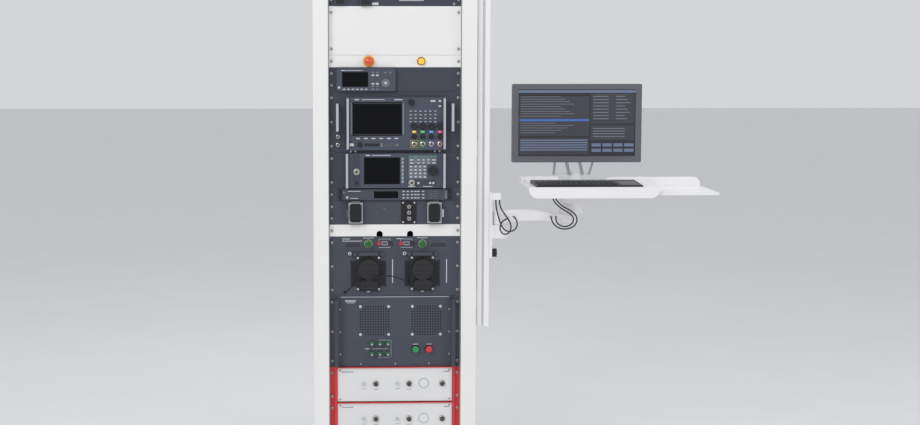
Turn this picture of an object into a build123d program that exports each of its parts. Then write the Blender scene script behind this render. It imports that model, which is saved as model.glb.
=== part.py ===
"""Rack-mounted automatic test system: a 19 inch cabinet of instruments with a swing-out operator arm.

Frame: +X to the operator's right, +Y into the cabinet, +Z up, millimetres.
The origin is on the floor under the middle of the cabinet.
"""

import os
from math import asin, cos, radians, sin

from build123d import *

# ---- driving dimensions ------------------------------------------------------------------------

UNIT = 44.45  # one rack unit
PANEL_WIDTH = 482.6  # 19 inch front panel
PANEL_T = 3.0
PANEL_GAP = 0.8  # free height between neighbouring panels
PANEL_SIDE_GAP = 3.2  # panel edge to column
PANEL_RECESS = 25.0  # cabinet front to panel front

WIDTH = 600.0
DEPTH = 905.0
COLUMN_DEPTH = 60.0
COLUMN_WIDTH = (WIDTH - PANEL_WIDTH) / 2 - PANEL_SIDE_GAP
BEAM = 40.0
TUBE_WALL = 2.5
BASE_T = 2.0  # closed floor plate of the plinth
PLINTH_HEIGHT = 90.0  # with the floor plate
COVER_T = 8.0
SKIN_T = 1.5  # side covers
SEAM = 0.1  # joint line between separate pieces that are bolted together

DOOR_T = 20.0
DOOR_SKIN = 2.0
DOOR_GAP = 1.5
BARREL_R = 5.0  # door hinge barrel

CASE_T = 1.5  # sheet of the instrument cases
RAIL_T = 2.0
RAIL_DEPTH = 30.0

MAST = 45.0  # T-slot profile of the arm mast
MAST_BOTTOM = 636.0
MAST_TOP = 1900.0
MAST_SPACER = 3.5
SLOT_W = 10.0
SLOT_D = 13.0
SLIDE_GAP = 0.5

ARM_Z = 1017.0  # underside of the swing arm at its root
ARM_LENGTH = 264.0
ARM_WIDTH = 46.0
HUB_R = 30.0
HUB_HEIGHT = 50.0
ELBOW_R = 25.0
HEAD_R = 45.0
PIN_R = 10.0
FIT = 0.05  # running fit of a pin in its bore, radial
END_GAP = 0.6  # between faces that turn on each other

TRAY_LEFT = 473.0
TRAY_WIDTH = 474.0
TRAY_DEPTH = 300.0
TRAY_FRONT = -612.0
TRAY_TOP = 1170.0
TRAY_SKIRT = 40.0
TRAY_T = 4.0
FENCE = 16.0
MOUSE_TRAY_RIGHT = 1170.0
MOUSE_TRAY_LEFT = 790.0
MOUSE_TRAY_TOP = 1146.0
MOUSE_TRAY_T = 7.0
MOUSE_FENCE = 37.0

SCREEN_W = 486.0
SCREEN_H = 293.0
SCREEN_T = 36.0
SCREEN_X = 685.0
SCREEN_Z = 1387.5
SCREEN_Y = -345.0  # front of the monitor
LINK_BASE_Z = 1192.0
LINK_LENGTH = 62.0
OPEN_PIVOT_GAP = 0.3  # the linkage is opened at the top of its rods

# Instruments from the top of the cabinet to its foot, each with its height in rack units.
STACK = (
    ("power", 3),
    ("blank", 4),
    ("control", 1),
    ("logger", 2),
    ("scope", 5),
    ("analyzer", 3),
    ("source", 1),
    ("connector", 2),
    ("cable", 1),
    ("charge", 5),
    ("load", 6),
    ("upper_module", 3),
    ("lower_module", 3),
    ("vent", 2),
)

# ---- places worked out from them ------------------------------------------------------------------

FRONT = -DEPTH / 2
PANEL_Y = FRONT + PANEL_RECESS
PANEL_BACK = PANEL_Y + PANEL_T
UNITS_BOTTOM = PLINTH_HEIGHT + BEAM
UNITS_TOP = UNITS_BOTTOM + UNIT * sum(units for name, units in STACK)
FRAME_TOP = UNITS_TOP + BEAM
HEIGHT = FRAME_TOP + COVER_T
FRAME_BACK = DEPTH / 2 - BARREL_R - DOOR_T - DOOR_GAP
COLUMN_INNER = WIDTH / 2 - COLUMN_WIDTH
HINGE_X = -WIDTH / 2 + BARREL_R
HINGE_Y = DEPTH / 2 - BARREL_R
MAST_X = WIDTH / 2 + MAST_SPACER + MAST / 2
MAST_Y = FRONT + MAST / 2 + 18
MAST_FACE = MAST_X + MAST / 2
PIVOT_X = MAST_FACE + 44
ELBOW_X = PIVOT_X + ARM_LENGTH
TRAY_BACK = TRAY_FRONT + TRAY_DEPTH
TRAY_RIGHT = TRAY_LEFT + TRAY_WIDTH
LINK_Y = SCREEN_Y + 72

BOTTOM = {}
level = UNITS_TOP
for name, units in STACK:
    level -= UNIT * units
    BOTTOM[name] = level
UNITS = dict(STACK)

TOWARD = (0, -1, 0)  # out of the cabinet's front
INTO = (0, 1, 0)
UP = (0, 0, 1)
RIGHT = (1, 0, 0)

os.makedirs("parts", exist_ok=True)


# ---- helpers ------------------------------------------------------------------------------------


def save(part, name):
    """Labels a finished piece and writes its file."""
    part.label = name
    export_step(part, f"parts/{name}.step")


def block(x, y, z, mode=Mode.ADD):
    """Adds a box to the open part, given its lowest and highest value along each axis."""
    with Locations(((x[0] + x[1]) / 2, (y[0] + y[1]) / 2, (z[0] + z[1]) / 2)):
        Box(x[1] - x[0], y[1] - y[0], z[1] - z[0], mode=mode)


def tube(x, y, z, wall, along):
    """Adds a square tube, open at both ends along one axis (0, 1 or 2)."""
    block(x, y, z)
    bore = [(low + wall, high - wall) for low, high in (x, y, z)]
    bore[along] = (x, y, z)[along]
    block(*bore, Mode.SUBTRACT)


def peg(start, radius, length, direction=TOWARD, mode=Mode.ADD):
    """Adds a round bar that starts at a point and runs along a direction."""
    with Locations(Plane(start, z_dir=direction)):
        Cylinder(radius, length, align=(Align.CENTER, Align.CENTER, Align.MIN), mode=mode)


def around(middle, size):
    """The lowest and highest value of a stretch of a given size about its middle."""
    return (middle - size / 2, middle + size / 2)


def span(name):
    """The lowest and highest Z of an instrument's front panel."""
    low = BOTTOM[name] + PANEL_GAP / 2
    return (low, low + UNIT * UNITS[name] - PANEL_GAP)


def screw_heights(name):
    """Heights of the panel screws of one instrument."""
    low, high = span(name)
    if UNITS[name] == 1:
        return [(low + high) / 2]
    inset = UNIT / 2
    count = 2 if UNITS[name] < 5 else 3
    pitch = (high - low - 2 * inset) / (count - 1)
    return [low + inset + pitch * step for step in range(count)]


def ear_places(name):
    """X and Z of the panel screws of one instrument, left and right."""
    return [(side * EAR_X, height) for height in screw_heights(name) for side in (-1, 1)]


def front_panel(name, thickness=PANEL_T):
    """Adds a 19 inch panel with its four or more screw holes to the open part."""
    block(around(0, PANEL_WIDTH), (PANEL_BACK - thickness, PANEL_BACK), span(name))
    for x, z in ear_places(name):
        peg((x, PANEL_BACK, z), EAR_HOLE_R, thickness, TOWARD, Mode.SUBTRACT)


def case_plates(x, y, z):
    """Adds the five sheets of an open-fronted instrument case, bolted along their seams."""
    inner_z = (z[0] + CASE_T + SEAM, z[1] - CASE_T - SEAM)
    block(x, y, (z[0], z[0] + CASE_T))
    block(x, y, (z[1] - CASE_T, z[1]))
    block((x[0], x[0] + CASE_T), y, inner_z)
    block((x[1] - CASE_T, x[1]), y, inner_z)
    block((x[0] + CASE_T + SEAM, x[1] - CASE_T - SEAM), (y[1] - CASE_T, y[1]), inner_z)


def bar_handle(x, z, face_y, width=9.0, reach=32.0, post=12.0, thick=9.0):
    """Adds a vertical bar handle with its two posts as three separate bars."""
    bar_y = (face_y - reach, face_y - reach + thick)
    block(around(x, width), bar_y, z)
    for low in (z[0], z[1] - post):
        block(around(x, width), (bar_y[1] + SEAM, face_y - SEAM), (low, low + post))


EAR_X = 232.5
EAR_HOLE_R = 3.6
SCREW_R = 2.8
SCREW_HEAD_R = 5.0
SCREW_HEAD_T = 3.2
SCREW_LENGTH = 12.0

# ---- cabinet: plinth, frame, rails, covers, door --------------------------------------------------

with BuildPart() as base_plate:
    block(around(0, WIDTH), (FRONT, FRAME_BACK), (0, BASE_T))
save(base_plate.part, "base_plate")

PLINTH_WALL = 84.0
with BuildPart() as base_plinth:
    plinth_z = (BASE_T + SEAM, PLINTH_HEIGHT - SEAM)
    for side in (-1, 1):
        x_edges = sorted((side * WIDTH / 2, side * (WIDTH / 2 - PLINTH_WALL)))
        tube(x_edges, (FRONT, FRAME_BACK), plinth_z, TUBE_WALL, 1)
    cross_x = around(0, WIDTH - 2 * PLINTH_WALL - 2 * SEAM)
    tube(cross_x, (FRONT, FRONT + PLINTH_WALL), plinth_z, TUBE_WALL, 0)
    tube(cross_x, (FRAME_BACK - PLINTH_WALL, FRAME_BACK), plinth_z, TUBE_WALL, 0)
save(base_plinth.part, "base_plinth")

HINGE_HEIGHTS = (300.0, 1040.0, 1780.0)
HINGE_PIN_R = 2.5
KNUCKLE = 26.0

with BuildPart() as cabinet_frame:
    frame_z = (PLINTH_HEIGHT, FRAME_TOP)
    for side in (-1, 1):
        column_x = sorted((side * COLUMN_INNER, side * WIDTH / 2))
        tube(column_x, (FRONT, FRONT + COLUMN_DEPTH), frame_z, TUBE_WALL, 2)
        tube(column_x, (FRAME_BACK - COLUMN_DEPTH, FRAME_BACK), frame_z, TUBE_WALL, 2)
        beam_x = sorted((side * (WIDTH / 2 - BEAM), side * (WIDTH / 2 - SKIN_T - SEAM)))
        beam_y = (FRONT + COLUMN_DEPTH + SEAM, FRAME_BACK - COLUMN_DEPTH - SEAM)
        tube(beam_x, beam_y, (PLINTH_HEIGHT, PLINTH_HEIGHT + BEAM), TUBE_WALL, 1)
        tube(beam_x, beam_y, (FRAME_TOP - BEAM, FRAME_TOP), TUBE_WALL, 1)
    cross_x = around(0, 2 * COLUMN_INNER - 2 * SEAM)
    for beam_y in ((FRONT, FRONT + BEAM), (FRAME_BACK - BEAM, FRAME_BACK)):
        tube(cross_x, beam_y, (PLINTH_HEIGHT, PLINTH_HEIGHT + BEAM), TUBE_WALL, 0)
        tube(cross_x, beam_y, (FRAME_TOP - BEAM, FRAME_TOP), TUBE_WALL, 0)
    for height in HINGE_HEIGHTS:
        leaf_x = (-WIDTH / 2, HINGE_X + BARREL_R)
        block(leaf_x, (FRAME_BACK + SEAM, HINGE_Y - 1), (height, height + KNUCKLE))
        peg((HINGE_X, HINGE_Y, height), BARREL_R, KNUCKLE, UP)
        peg((HINGE_X, HINGE_Y, height + KNUCKLE), HINGE_PIN_R, KNUCKLE - 2, UP)
save(cabinet_frame.part, "cabinet_frame")

with BuildPart() as rack_rails:
    rail_z = (UNITS_BOTTOM + SEAM, UNITS_TOP - SEAM)
    for side in (-1, 1):
        outer = side * (COLUMN_INNER - SEAM)
        for start, direction in ((PANEL_BACK + SEAM, 1), (FRAME_BACK - COLUMN_DEPTH - 40, -1)):
            face = sorted((start, start + direction * RAIL_T))
            web = sorted((start + direction * (RAIL_T + SEAM), start + direction * RAIL_DEPTH))
            block(sorted((side * 223, outer)), face, rail_z)
            block(sorted((outer - side * RAIL_T, outer)), web, rail_z)
    for name, units in STACK:
        for x, z in ear_places(name):
            peg((x, PANEL_BACK, z), EAR_HOLE_R, RAIL_T + 1, INTO, Mode.SUBTRACT)
save(rack_rails.part, "rack_rails")

with BuildPart() as panel_screws:
    for name, units in STACK:
        for x, z in ear_places(name):
            peg((x, PANEL_Y - SEAM, z), SCREW_HEAD_R, SCREW_HEAD_T)
            peg((x, PANEL_Y - SEAM, z), SCREW_R, SCREW_LENGTH, INTO)
save(panel_screws.part, "panel_screws")

with BuildPart() as cabinet_covers:
    cover_y = (FRONT + COLUMN_DEPTH + SEAM, FRAME_BACK - COLUMN_DEPTH - SEAM)
    for side in (-1, 1):
        skin_x = sorted((side * WIDTH / 2, side * (WIDTH / 2 - SKIN_T)))
        block(skin_x, cover_y, (PLINTH_HEIGHT, FRAME_TOP))
    block(around(0, WIDTH), (FRONT, FRAME_BACK), (FRAME_TOP + SEAM, HEIGHT))
save(cabinet_covers.part, "cabinet_covers")

DOOR_Z = (PLINTH_HEIGHT + 6, HEIGHT - 2)
DOOR_LEFT = HINGE_X + BARREL_R + 1
DOOR_Y = HINGE_Y - DOOR_T
LEAF_T = 1.6
LATCH_X = WIDTH / 2 - 40
LATCH_Z = 1100.0

with BuildPart() as rear_door:
    block((DOOR_LEFT, WIDTH / 2), (DOOR_Y, HINGE_Y), DOOR_Z)
    inner = ((DOOR_LEFT + DOOR_SKIN, WIDTH / 2 - DOOR_SKIN), (DOOR_Y, HINGE_Y - DOOR_SKIN))
    block(inner[0], inner[1], (DOOR_Z[0] + DOOR_SKIN, DOOR_Z[1] - DOOR_SKIN), Mode.SUBTRACT)
    for height in HINGE_HEIGHTS:
        base = height + KNUCKLE + END_GAP
        knuckle_z = (base, base + KNUCKLE)
        block((HINGE_X, DOOR_LEFT + 30), (HINGE_Y, HINGE_Y + LEAF_T), knuckle_z)
        peg((HINGE_X, HINGE_Y, base), BARREL_R, KNUCKLE, UP)
        peg((HINGE_X, HINGE_Y, base), HINGE_PIN_R + FIT, KNUCKLE, UP, Mode.SUBTRACT)
    peg((LATCH_X, HINGE_Y, LATCH_Z), 6 + FIT, DOOR_SKIN, TOWARD, Mode.SUBTRACT)
save(rear_door.part, "rear_door")

HANDLE_T = 4.0
with BuildPart() as door_handle:
    peg((LATCH_X, HINGE_Y - 14, LATCH_Z), 6, 15, INTO)
    block(around(LATCH_X, 18), (HINGE_Y + 0.4, HINGE_Y + HANDLE_T), (LATCH_Z - 90, LATCH_Z + 14))
save(door_handle.part, "door_handle")

# ---- plain panels of the stack ----------------------------------------------------------------

BUTTON_X = 96.0
STOP_HOLE_R = 11.0
RESET_HOLE_R = 9.0
CONTROL_Z = BOTTOM["control"] + UNIT / 2

with BuildPart() as blank_panels:
    for name in ("blank", "control", "vent"):
        front_panel(name)
    peg((-BUTTON_X, PANEL_BACK, CONTROL_Z), STOP_HOLE_R, PANEL_T, TOWARD, Mode.SUBTRACT)
    peg((BUTTON_X, PANEL_BACK, CONTROL_Z), RESET_HOLE_R, PANEL_T, TOWARD, Mode.SUBTRACT)
save(blank_panels.part, "blank_panels")

NOTCH_W = 22.8
NOTCH_H = 20.0
NOTCH_X = 56.5
with BuildPart() as cable_strip:
    front_panel("cable")
    low = span("cable")[0]
    for side in (-1, 1):
        top = low + NOTCH_H - NOTCH_W / 2
        block(around(side * NOTCH_X, NOTCH_W), (PANEL_Y, PANEL_BACK), (low, top), Mode.SUBTRACT)
        peg((side * NOTCH_X, PANEL_BACK, top), NOTCH_W / 2, PANEL_T, TOWARD, Mode.SUBTRACT)
save(cable_strip.part, "cable_strip")

LOGGER_X = (-214.0, 1.5)
SCOPE_X = (-178.0, 186.0)
ANALYZER_X = (-172.0, 175.0)
LOGGER_Z = (BOTTOM["logger"] + 2, BOTTOM["logger"] + 86)
SCOPE_Z = (BOTTOM["scope"] + 9, BOTTOM["scope"] + 202)
ANALYZER_Z = (BOTTOM["analyzer"] + 3, BOTTOM["analyzer"] + 130)
INSTRUMENTS = {
    "logger": (LOGGER_X, LOGGER_Z),
    "scope": (SCOPE_X, SCOPE_Z),
    "analyzer": (ANALYZER_X, ANALYZER_Z),
}
WINDOW_GAP = 0.5

with BuildPart() as adapter_panels:
    for name, (x, z) in INSTRUMENTS.items():
        window_x = (x[0] - WINDOW_GAP, x[1] + WINDOW_GAP)
        window_z = (z[0] - WINDOW_GAP, z[1] + WINDOW_GAP)
        low, high = span(name)
        edge = PANEL_WIDTH / 2
        y = (PANEL_Y, PANEL_BACK)
        block((-edge, window_x[0]), y, (low, high))
        block((window_x[1], edge), y, (low, high))
        strip_x = (window_x[0] + SEAM, window_x[1] - SEAM)
        block(strip_x, y, (low, window_z[0]))
        block(strip_x, y, (window_z[1], high))
        for hole_x, hole_z in ear_places(name):
            peg((hole_x, PANEL_BACK, hole_z), EAR_HOLE_R, PANEL_T, TOWARD, Mode.SUBTRACT)
save(adapter_panels.part, "adapter_panels")

# ---- power unit ------------------------------------------------------------------------------

with BuildPart() as power_unit:
    front_panel("power")
    low, high = span("power")
    case_plates(around(0, 440), (PANEL_BACK + SEAM, 60), (low + 2, high - 2))
    block((-127, -90), (PANEL_Y - 14, PANEL_Y - SEAM), (low + 1, low + 46))
    block((-221, -180), (PANEL_Y - 6, PANEL_Y - SEAM), (low + 1, low + 30))
save(power_unit.part, "power_unit")

# ---- control strip buttons --------------------------------------------------------------------

MUSHROOM_R = 16.0
DOME = 7.0

with BuildPart() as stop_plunger:
    peg((-BUTTON_X, PANEL_BACK + 30, CONTROL_Z), STOP_HOLE_R - 2.5, 30 + PANEL_T + 9, TOWARD)
save(stop_plunger.part, "stop_plunger")

with BuildPart() as stop_mushroom:
    with BuildSketch(Plane(origin=(-BUTTON_X, 0, CONTROL_Z), x_dir=RIGHT, z_dir=UP)):
        with BuildLine():
            cap_y = PANEL_Y - 9 - SEAM
            rim_y = cap_y - 10
            dome_r = (MUSHROOM_R**2 + DOME**2) / (2 * DOME)
            half = asin(MUSHROOM_R / dome_r) / 2
            dome_y = rim_y - DOME + dome_r * (1 - cos(half))
            Polyline((0, cap_y), (MUSHROOM_R - 6, cap_y), (MUSHROOM_R, cap_y - 5), (MUSHROOM_R, rim_y))
            ThreePointArc((MUSHROOM_R, rim_y), (dome_r * sin(half), dome_y), (0, rim_y - DOME))
            Line((0, rim_y - DOME), (0, cap_y))
        make_face()
    revolve(axis=Axis((-BUTTON_X, 0, CONTROL_Z), INTO))
save(stop_mushroom.part, "stop_mushroom")

with BuildPart() as reset_button:
    reset_r = RESET_HOLE_R - 1.5
    peg((BUTTON_X, PANEL_BACK + 22, CONTROL_Z), reset_r, 22 + PANEL_T + 12, TOWARD)
    peg((BUTTON_X, PANEL_Y - 8, CONTROL_Z), reset_r + 4, 6, TOWARD)
save(reset_button.part, "reset_button")

# ---- data logger -----------------------------------------------------------------------------

BEZEL_PROUD = 14.0

with BuildPart() as logger_unit:
    case_plates(LOGGER_X, (PANEL_BACK + 2, -60), LOGGER_Z)
    block(LOGGER_X, (PANEL_Y - BEZEL_PROUD, PANEL_Y), LOGGER_Z)
    edges = logger_unit.part.edges().filter_by(Axis.Y).group_by(Axis.Y)[0]
    fillet(edges, 5)
    block((LOGGER_X[0] + 20, -98), (PANEL_Y - BEZEL_PROUD, PANEL_Y - BEZEL_PROUD + 1.5),
          (LOGGER_Z[0] + 16, LOGGER_Z[1] - 14), Mode.SUBTRACT)
save(logger_unit.part, "logger_unit")

# ---- oscilloscope ---------------------------------------------------------------------------

SCOPE_FACE = PANEL_Y - 18.0
KNOB_CLEAR = 0.5

with BuildPart() as scope_case:
    case_plates(SCOPE_X, (PANEL_BACK, -130), SCOPE_Z)
save(scope_case.part, "scope_case")

SCOPE_KNOB = (59.0, BOTTOM["scope"] + 184)
SCOPE_SCREEN = ((-155.7, 25.0), (BOTTOM["scope"] + 61, BOTTOM["scope"] + 185))
CHANNEL_X = (70.0, 101.5, 133.0, 164.5)
CHANNEL_KNOB_Z = BOTTOM["scope"] + 96
SHAFT_R = 3.0
POWER_KEY = (-159.0, BOTTOM["scope"] + 29)
POWER_KEY_SIZE = (15.0, 10.0)
KEY_GAP = 0.4

with BuildPart() as scope_front:
    block(SCOPE_X, (SCOPE_FACE, PANEL_Y + 2), SCOPE_Z)
    outline = scope_front.part.edges().filter_by(Axis.Y)
    fillet(outline, 8)
    block(SCOPE_SCREEN[0], (SCOPE_FACE, SCOPE_FACE + 2), SCOPE_SCREEN[1], Mode.SUBTRACT)
    for x, z in [SCOPE_KNOB] + [(x, CHANNEL_KNOB_Z) for x in CHANNEL_X]:
        peg((x, SCOPE_FACE, z), SHAFT_R + FIT, 12, INTO, Mode.SUBTRACT)
    block(around(POWER_KEY[0], POWER_KEY_SIZE[0] + 2 * KEY_GAP), (SCOPE_FACE, SCOPE_FACE + 8),
          around(POWER_KEY[1], POWER_KEY_SIZE[1] + 2 * KEY_GAP), Mode.SUBTRACT)
save(scope_front.part, "scope_front")


def knob(name, x, z, face, radius, length):
    """Builds a control knob with its shaft, on a front face."""
    with BuildPart() as part:
        peg((x, face - KNOB_CLEAR, z), radius, length, TOWARD)
        chamfer(part.part.edges().filter_by(GeomType.CIRCLE).group_by(Axis.Y)[0], 1.2)
        peg((x, face + 10, z), SHAFT_R, 10 + KNOB_CLEAR, TOWARD)
    save(part.part, name)


knob("scope_knob", SCOPE_KNOB[0], SCOPE_KNOB[1], SCOPE_FACE, 11, 13)
for number, x in enumerate(CHANNEL_X, 1):
    knob(f"channel_knob_{number}", x, CHANNEL_KNOB_Z, SCOPE_FACE, 12, 14)

with BuildPart() as scope_power_button:
    block(around(POWER_KEY[0], POWER_KEY_SIZE[0]), (SCOPE_FACE - 3, SCOPE_FACE + 4),
          around(POWER_KEY[1], POWER_KEY_SIZE[1]))
save(scope_power_button.part, "scope_power_button")

# ---- network analyzer ------------------------------------------------------------------------

ANALYZER_FACE = PANEL_Y - 20.0
ANALYZER_BACK = -60.0
ANALYZER_KNOB = (139.5, BOTTOM["analyzer"] + 66)
ANALYZER_KEY = (-141.5, BOTTOM["analyzer"] + 22)
KEY_R = 6.0
ANALYZER_SCREEN = ((-114.4, 18.0), (BOTTOM["analyzer"] + 17, BOTTOM["analyzer"] + 116))
PORT_X = (-141.5, 61.0)
BOARD_T = 1.6
BOARD_CLEAR = 8.0

with BuildPart() as analyzer_case:
    case_plates(ANALYZER_X, (PANEL_BACK, ANALYZER_BACK), ANALYZER_Z)
save(analyzer_case.part, "analyzer_case")

with BuildPart() as analyzer_boards:
    board_x = (ANALYZER_X[0] + BOARD_CLEAR, ANALYZER_X[1] - BOARD_CLEAR)
    board_y = (PANEL_BACK + 14, ANALYZER_BACK - BOARD_CLEAR)
    board_z = ANALYZER_Z[0] + CASE_T + 6
    block(board_x, board_y, (board_z, board_z + BOARD_T))
    for x in (board_x[0] + 6, board_x[1] - 6):
        for y in (board_y[0] + 6, board_y[1] - 6):
            peg((x, y, board_z), 3, board_z - ANALYZER_Z[0] - CASE_T - SEAM, (0, 0, -1))
    top = board_z + BOARD_T
    block((board_x[0] + 12, 10), (board_y[0] + 20, board_y[0] + 150), (top, top + 32))
    block((24, board_x[1] - 12), (board_y[0] + 20, board_y[0] + 150), (top, top + 26))
    block((board_x[0] + 12, -20), (board_y[1] - 140, board_y[1] - 14), (top, top + 60))
save(analyzer_boards.part, "analyzer_boards")

with BuildPart() as analyzer_front:
    block(ANALYZER_X, (ANALYZER_FACE, PANEL_Y + 2), ANALYZER_Z)
    outline = analyzer_front.part.edges().filter_by(Axis.Y)
    fillet(outline, 6)
    block(ANALYZER_SCREEN[0], (ANALYZER_FACE, ANALYZER_FACE + 2), ANALYZER_SCREEN[1], Mode.SUBTRACT)
    peg((ANALYZER_KNOB[0], ANALYZER_FACE, ANALYZER_KNOB[1]), SHAFT_R + FIT, 12, INTO, Mode.SUBTRACT)
    peg((ANALYZER_KEY[0], ANALYZER_FACE, ANALYZER_KEY[1]), KEY_R + KEY_GAP, 8, INTO, Mode.SUBTRACT)
save(analyzer_front.part, "analyzer_front")

knob("analyzer_knob", ANALYZER_KNOB[0], ANALYZER_KNOB[1], ANALYZER_FACE, 17, 15)

with BuildPart() as analyzer_power_button:
    peg((ANALYZER_KEY[0], ANALYZER_FACE + 4, ANALYZER_KEY[1]), KEY_R, 7, TOWARD)
save(analyzer_power_button.part, "analyzer_power_button")

MAT_T = 0.8
KEY_PROUD = 2.4
SOFTKEY_X = 27.6
FUNCTION_X = (60.7, 85.4, 103.8, 122.9, 142.4)
FUNCTION_W = (17.0, 11.0, 11.0, 11.0, 17.0)
NUMBER_X = (58.5, 75.1, 92.0, 108.9)

with BuildPart() as analyzer_keypad:
    base = BOTTOM["analyzer"]
    mat_y = (ANALYZER_FACE - MAT_T, ANALYZER_FACE)
    key_y = (ANALYZER_FACE - MAT_T - KEY_PROUD, ANALYZER_FACE - MAT_T)
    block(around(SOFTKEY_X, 10), mat_y, (base + 21, base + 115))
    for row in range(7):
        block(around(SOFTKEY_X, 7), key_y, around(base + 25.5 + 14.2 * row, 8))
    block((50, 153), mat_y, (base + 90, base + 123))
    for row in range(3):
        for x, width in zip(FUNCTION_X, FUNCTION_W):
            block(around(x, width), key_y, around(base + 95 + 11.4 * row, 7.5))
    block((50, 118), mat_y, (base + 38, base + 88))
    for row in range(4):
        for x in NUMBER_X:
            block(around(x, 11), key_y, around(base + 44 + 12.6 * row, 8))
save(analyzer_keypad.part, "analyzer_keypad")

# ---- low source unit, connector panel ----------------------------------------------------------

with BuildPart() as source_unit:
    front_panel("source")
    low, high = span("source")
    block((-196, 190), (PANEL_Y - 12, PANEL_Y - SEAM), (low + 2, high - 2))
    block((-77.6, 11.8), (PANEL_Y - 12, PANEL_Y - 10.5), (low + 8, high - 9), Mode.SUBTRACT)
    case_plates(around(0, 430), (PANEL_BACK + SEAM, -40), (low + 1, high - 1))
save(source_unit.part, "source_unit")

CONNECTOR_X = 145.0
CONNECTOR_W = 52.0
CONNECTOR_H = 78.0
CONNECTOR_OUT = 22.0
CONNECTOR_Z = BOTTOM["connector"] + UNIT
COAX_X = 52.0
COAX_PITCH = 22.0
LEVER_PIN_R = 3.0
LEVER_Y = PANEL_Y - 16

with BuildPart() as connector_panel:
    front_panel("connector")
    low, high = span("connector")
    case_plates(around(0, 440), (PANEL_BACK + SEAM, -160), (low + 1, high - 1))
    for side in (-1, 1):
        x = around(side * CONNECTOR_X, CONNECTOR_W)
        block(x, (PANEL_Y - CONNECTOR_OUT, PANEL_Y - SEAM), around(CONNECTOR_Z, CONNECTOR_H))
        pocket = around(side * CONNECTOR_X, CONNECTOR_W - 12)
        pocket_y = (PANEL_Y - CONNECTOR_OUT, PANEL_Y - 8)
        block(pocket, pocket_y, around(CONNECTOR_Z, CONNECTOR_H - 12), Mode.SUBTRACT)
        insert = around(side * CONNECTOR_X, CONNECTOR_W - 20)
        block(insert, (PANEL_Y - 16, PANEL_Y - 8), around(CONNECTOR_Z, CONNECTOR_H - 20))
        outer = side * (CONNECTOR_X + CONNECTOR_W / 2)
        peg((outer, LEVER_Y, CONNECTOR_Z), LEVER_PIN_R, 9, (side, 0, 0))
    block((23, 79.5), (PANEL_Y - 3, PANEL_Y - SEAM), around(CONNECTOR_Z, 82))
    for step in (-1, 0, 1):
        peg((COAX_X, PANEL_Y - 3 - SEAM, CONNECTOR_Z + step * COAX_PITCH), 8, 14 - SEAM, TOWARD)
save(connector_panel.part, "connector_panel")

for word, side in (("left", -1), ("right", 1)):
    with BuildPart() as lever:
        inner = side * (CONNECTOR_X + CONNECTOR_W / 2 + 0.6)
        outer = inner + side * 7
        block(sorted((inner, outer)), (LEVER_Y - 24, LEVER_Y), around(CONNECTOR_Z, 28))
        peg((inner, LEVER_Y, CONNECTOR_Z), 10, 7, (side, 0, 0))
        peg((inner - side, LEVER_Y, CONNECTOR_Z), LEVER_PIN_R + FIT, 9, (side, 0, 0), Mode.SUBTRACT)
    save(lever.part, f"lever_{word}")

# ---- charging interface panel ---------------------------------------------------------------

INLET_X = (-98.0, 102.0)
INLET_Z = BOTTOM["charge"] + 101.6
INLET_R = 38.6
LAMP_Z = BOTTOM["charge"] + 195.5
LAMP_R = 15.8
JACK_X = (-59.0, -17.0, 22.0, 64.0)
COAX_PORT_X = (-167.0, 34.6)

with BuildPart() as charge_panel:
    front_panel("charge")
    low, high = span("charge")
    case_plates(around(0, 440), (PANEL_BACK + SEAM, 40), (low + 2, high - 2))
    for x in INLET_X:
        peg((x, PANEL_Y - SEAM, LAMP_Z), LAMP_R, 4 - SEAM, TOWARD)
        peg((x, PANEL_Y - 4, LAMP_Z), LAMP_R - 2.5, 12, TOWARD)
        block(around(x, 112), (PANEL_Y - 12, PANEL_Y - SEAM), around(BOTTOM["charge"] + 157, 12))
    for x in JACK_X:
        peg((x, PANEL_Y - SEAM, LAMP_Z + 1), 7, 9 - SEAM, TOWARD)
    for x in COAX_PORT_X:
        peg((x, PANEL_Y - SEAM, BOTTOM["charge"] + 160), 7, 14 - SEAM, TOWARD)
save(charge_panel.part, "charge_panel")

# The thin sense leads of the inlets, along runs joined by tangent arcs.
LEAD_R = 2.2
LEAD_GLAND_R = 4.0
LEAD_Y = PANEL_Y - 26
LEAD_ENDS = ((-85, LEAD_Y, INLET_Z - 38), (-111, LEAD_Y, INLET_Z - 38))
LEAD_PANEL_ENDS = ((50, PANEL_Y, INLET_Z - 46), (-186, PANEL_Y, INLET_Z - 88))

LOWER_PORT = (56.0, 38.0)
LOWER_PORT_Z = BOTTOM["charge"] + 45
with BuildPart() as charge_inlets:
    for x in INLET_X:
        block(around(x, 90), (PANEL_Y - 4, PANEL_Y - SEAM), (BOTTOM["charge"] + 19, BOTTOM["charge"] + 149))
        with BuildSketch(Plane(origin=(x, PANEL_Y - 4, INLET_Z), x_dir=RIGHT, z_dir=TOWARD)):
            Circle(INLET_R)
            with Locations((0, LOWER_PORT_Z - INLET_Z)):
                SlotCenterToCenter(LOWER_PORT[0] - LOWER_PORT[1] + 12, LOWER_PORT[1])
        extrude(amount=22)
    for x, y, z in LEAD_ENDS:
        peg((x, y, z), LEAD_GLAND_R, 6, TOWARD)
    for x, y, z in LEAD_PANEL_ENDS:
        peg((x, y - SEAM, z), LEAD_GLAND_R, 6 - SEAM, TOWARD)
save(charge_inlets.part, "charge_inlets")

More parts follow.
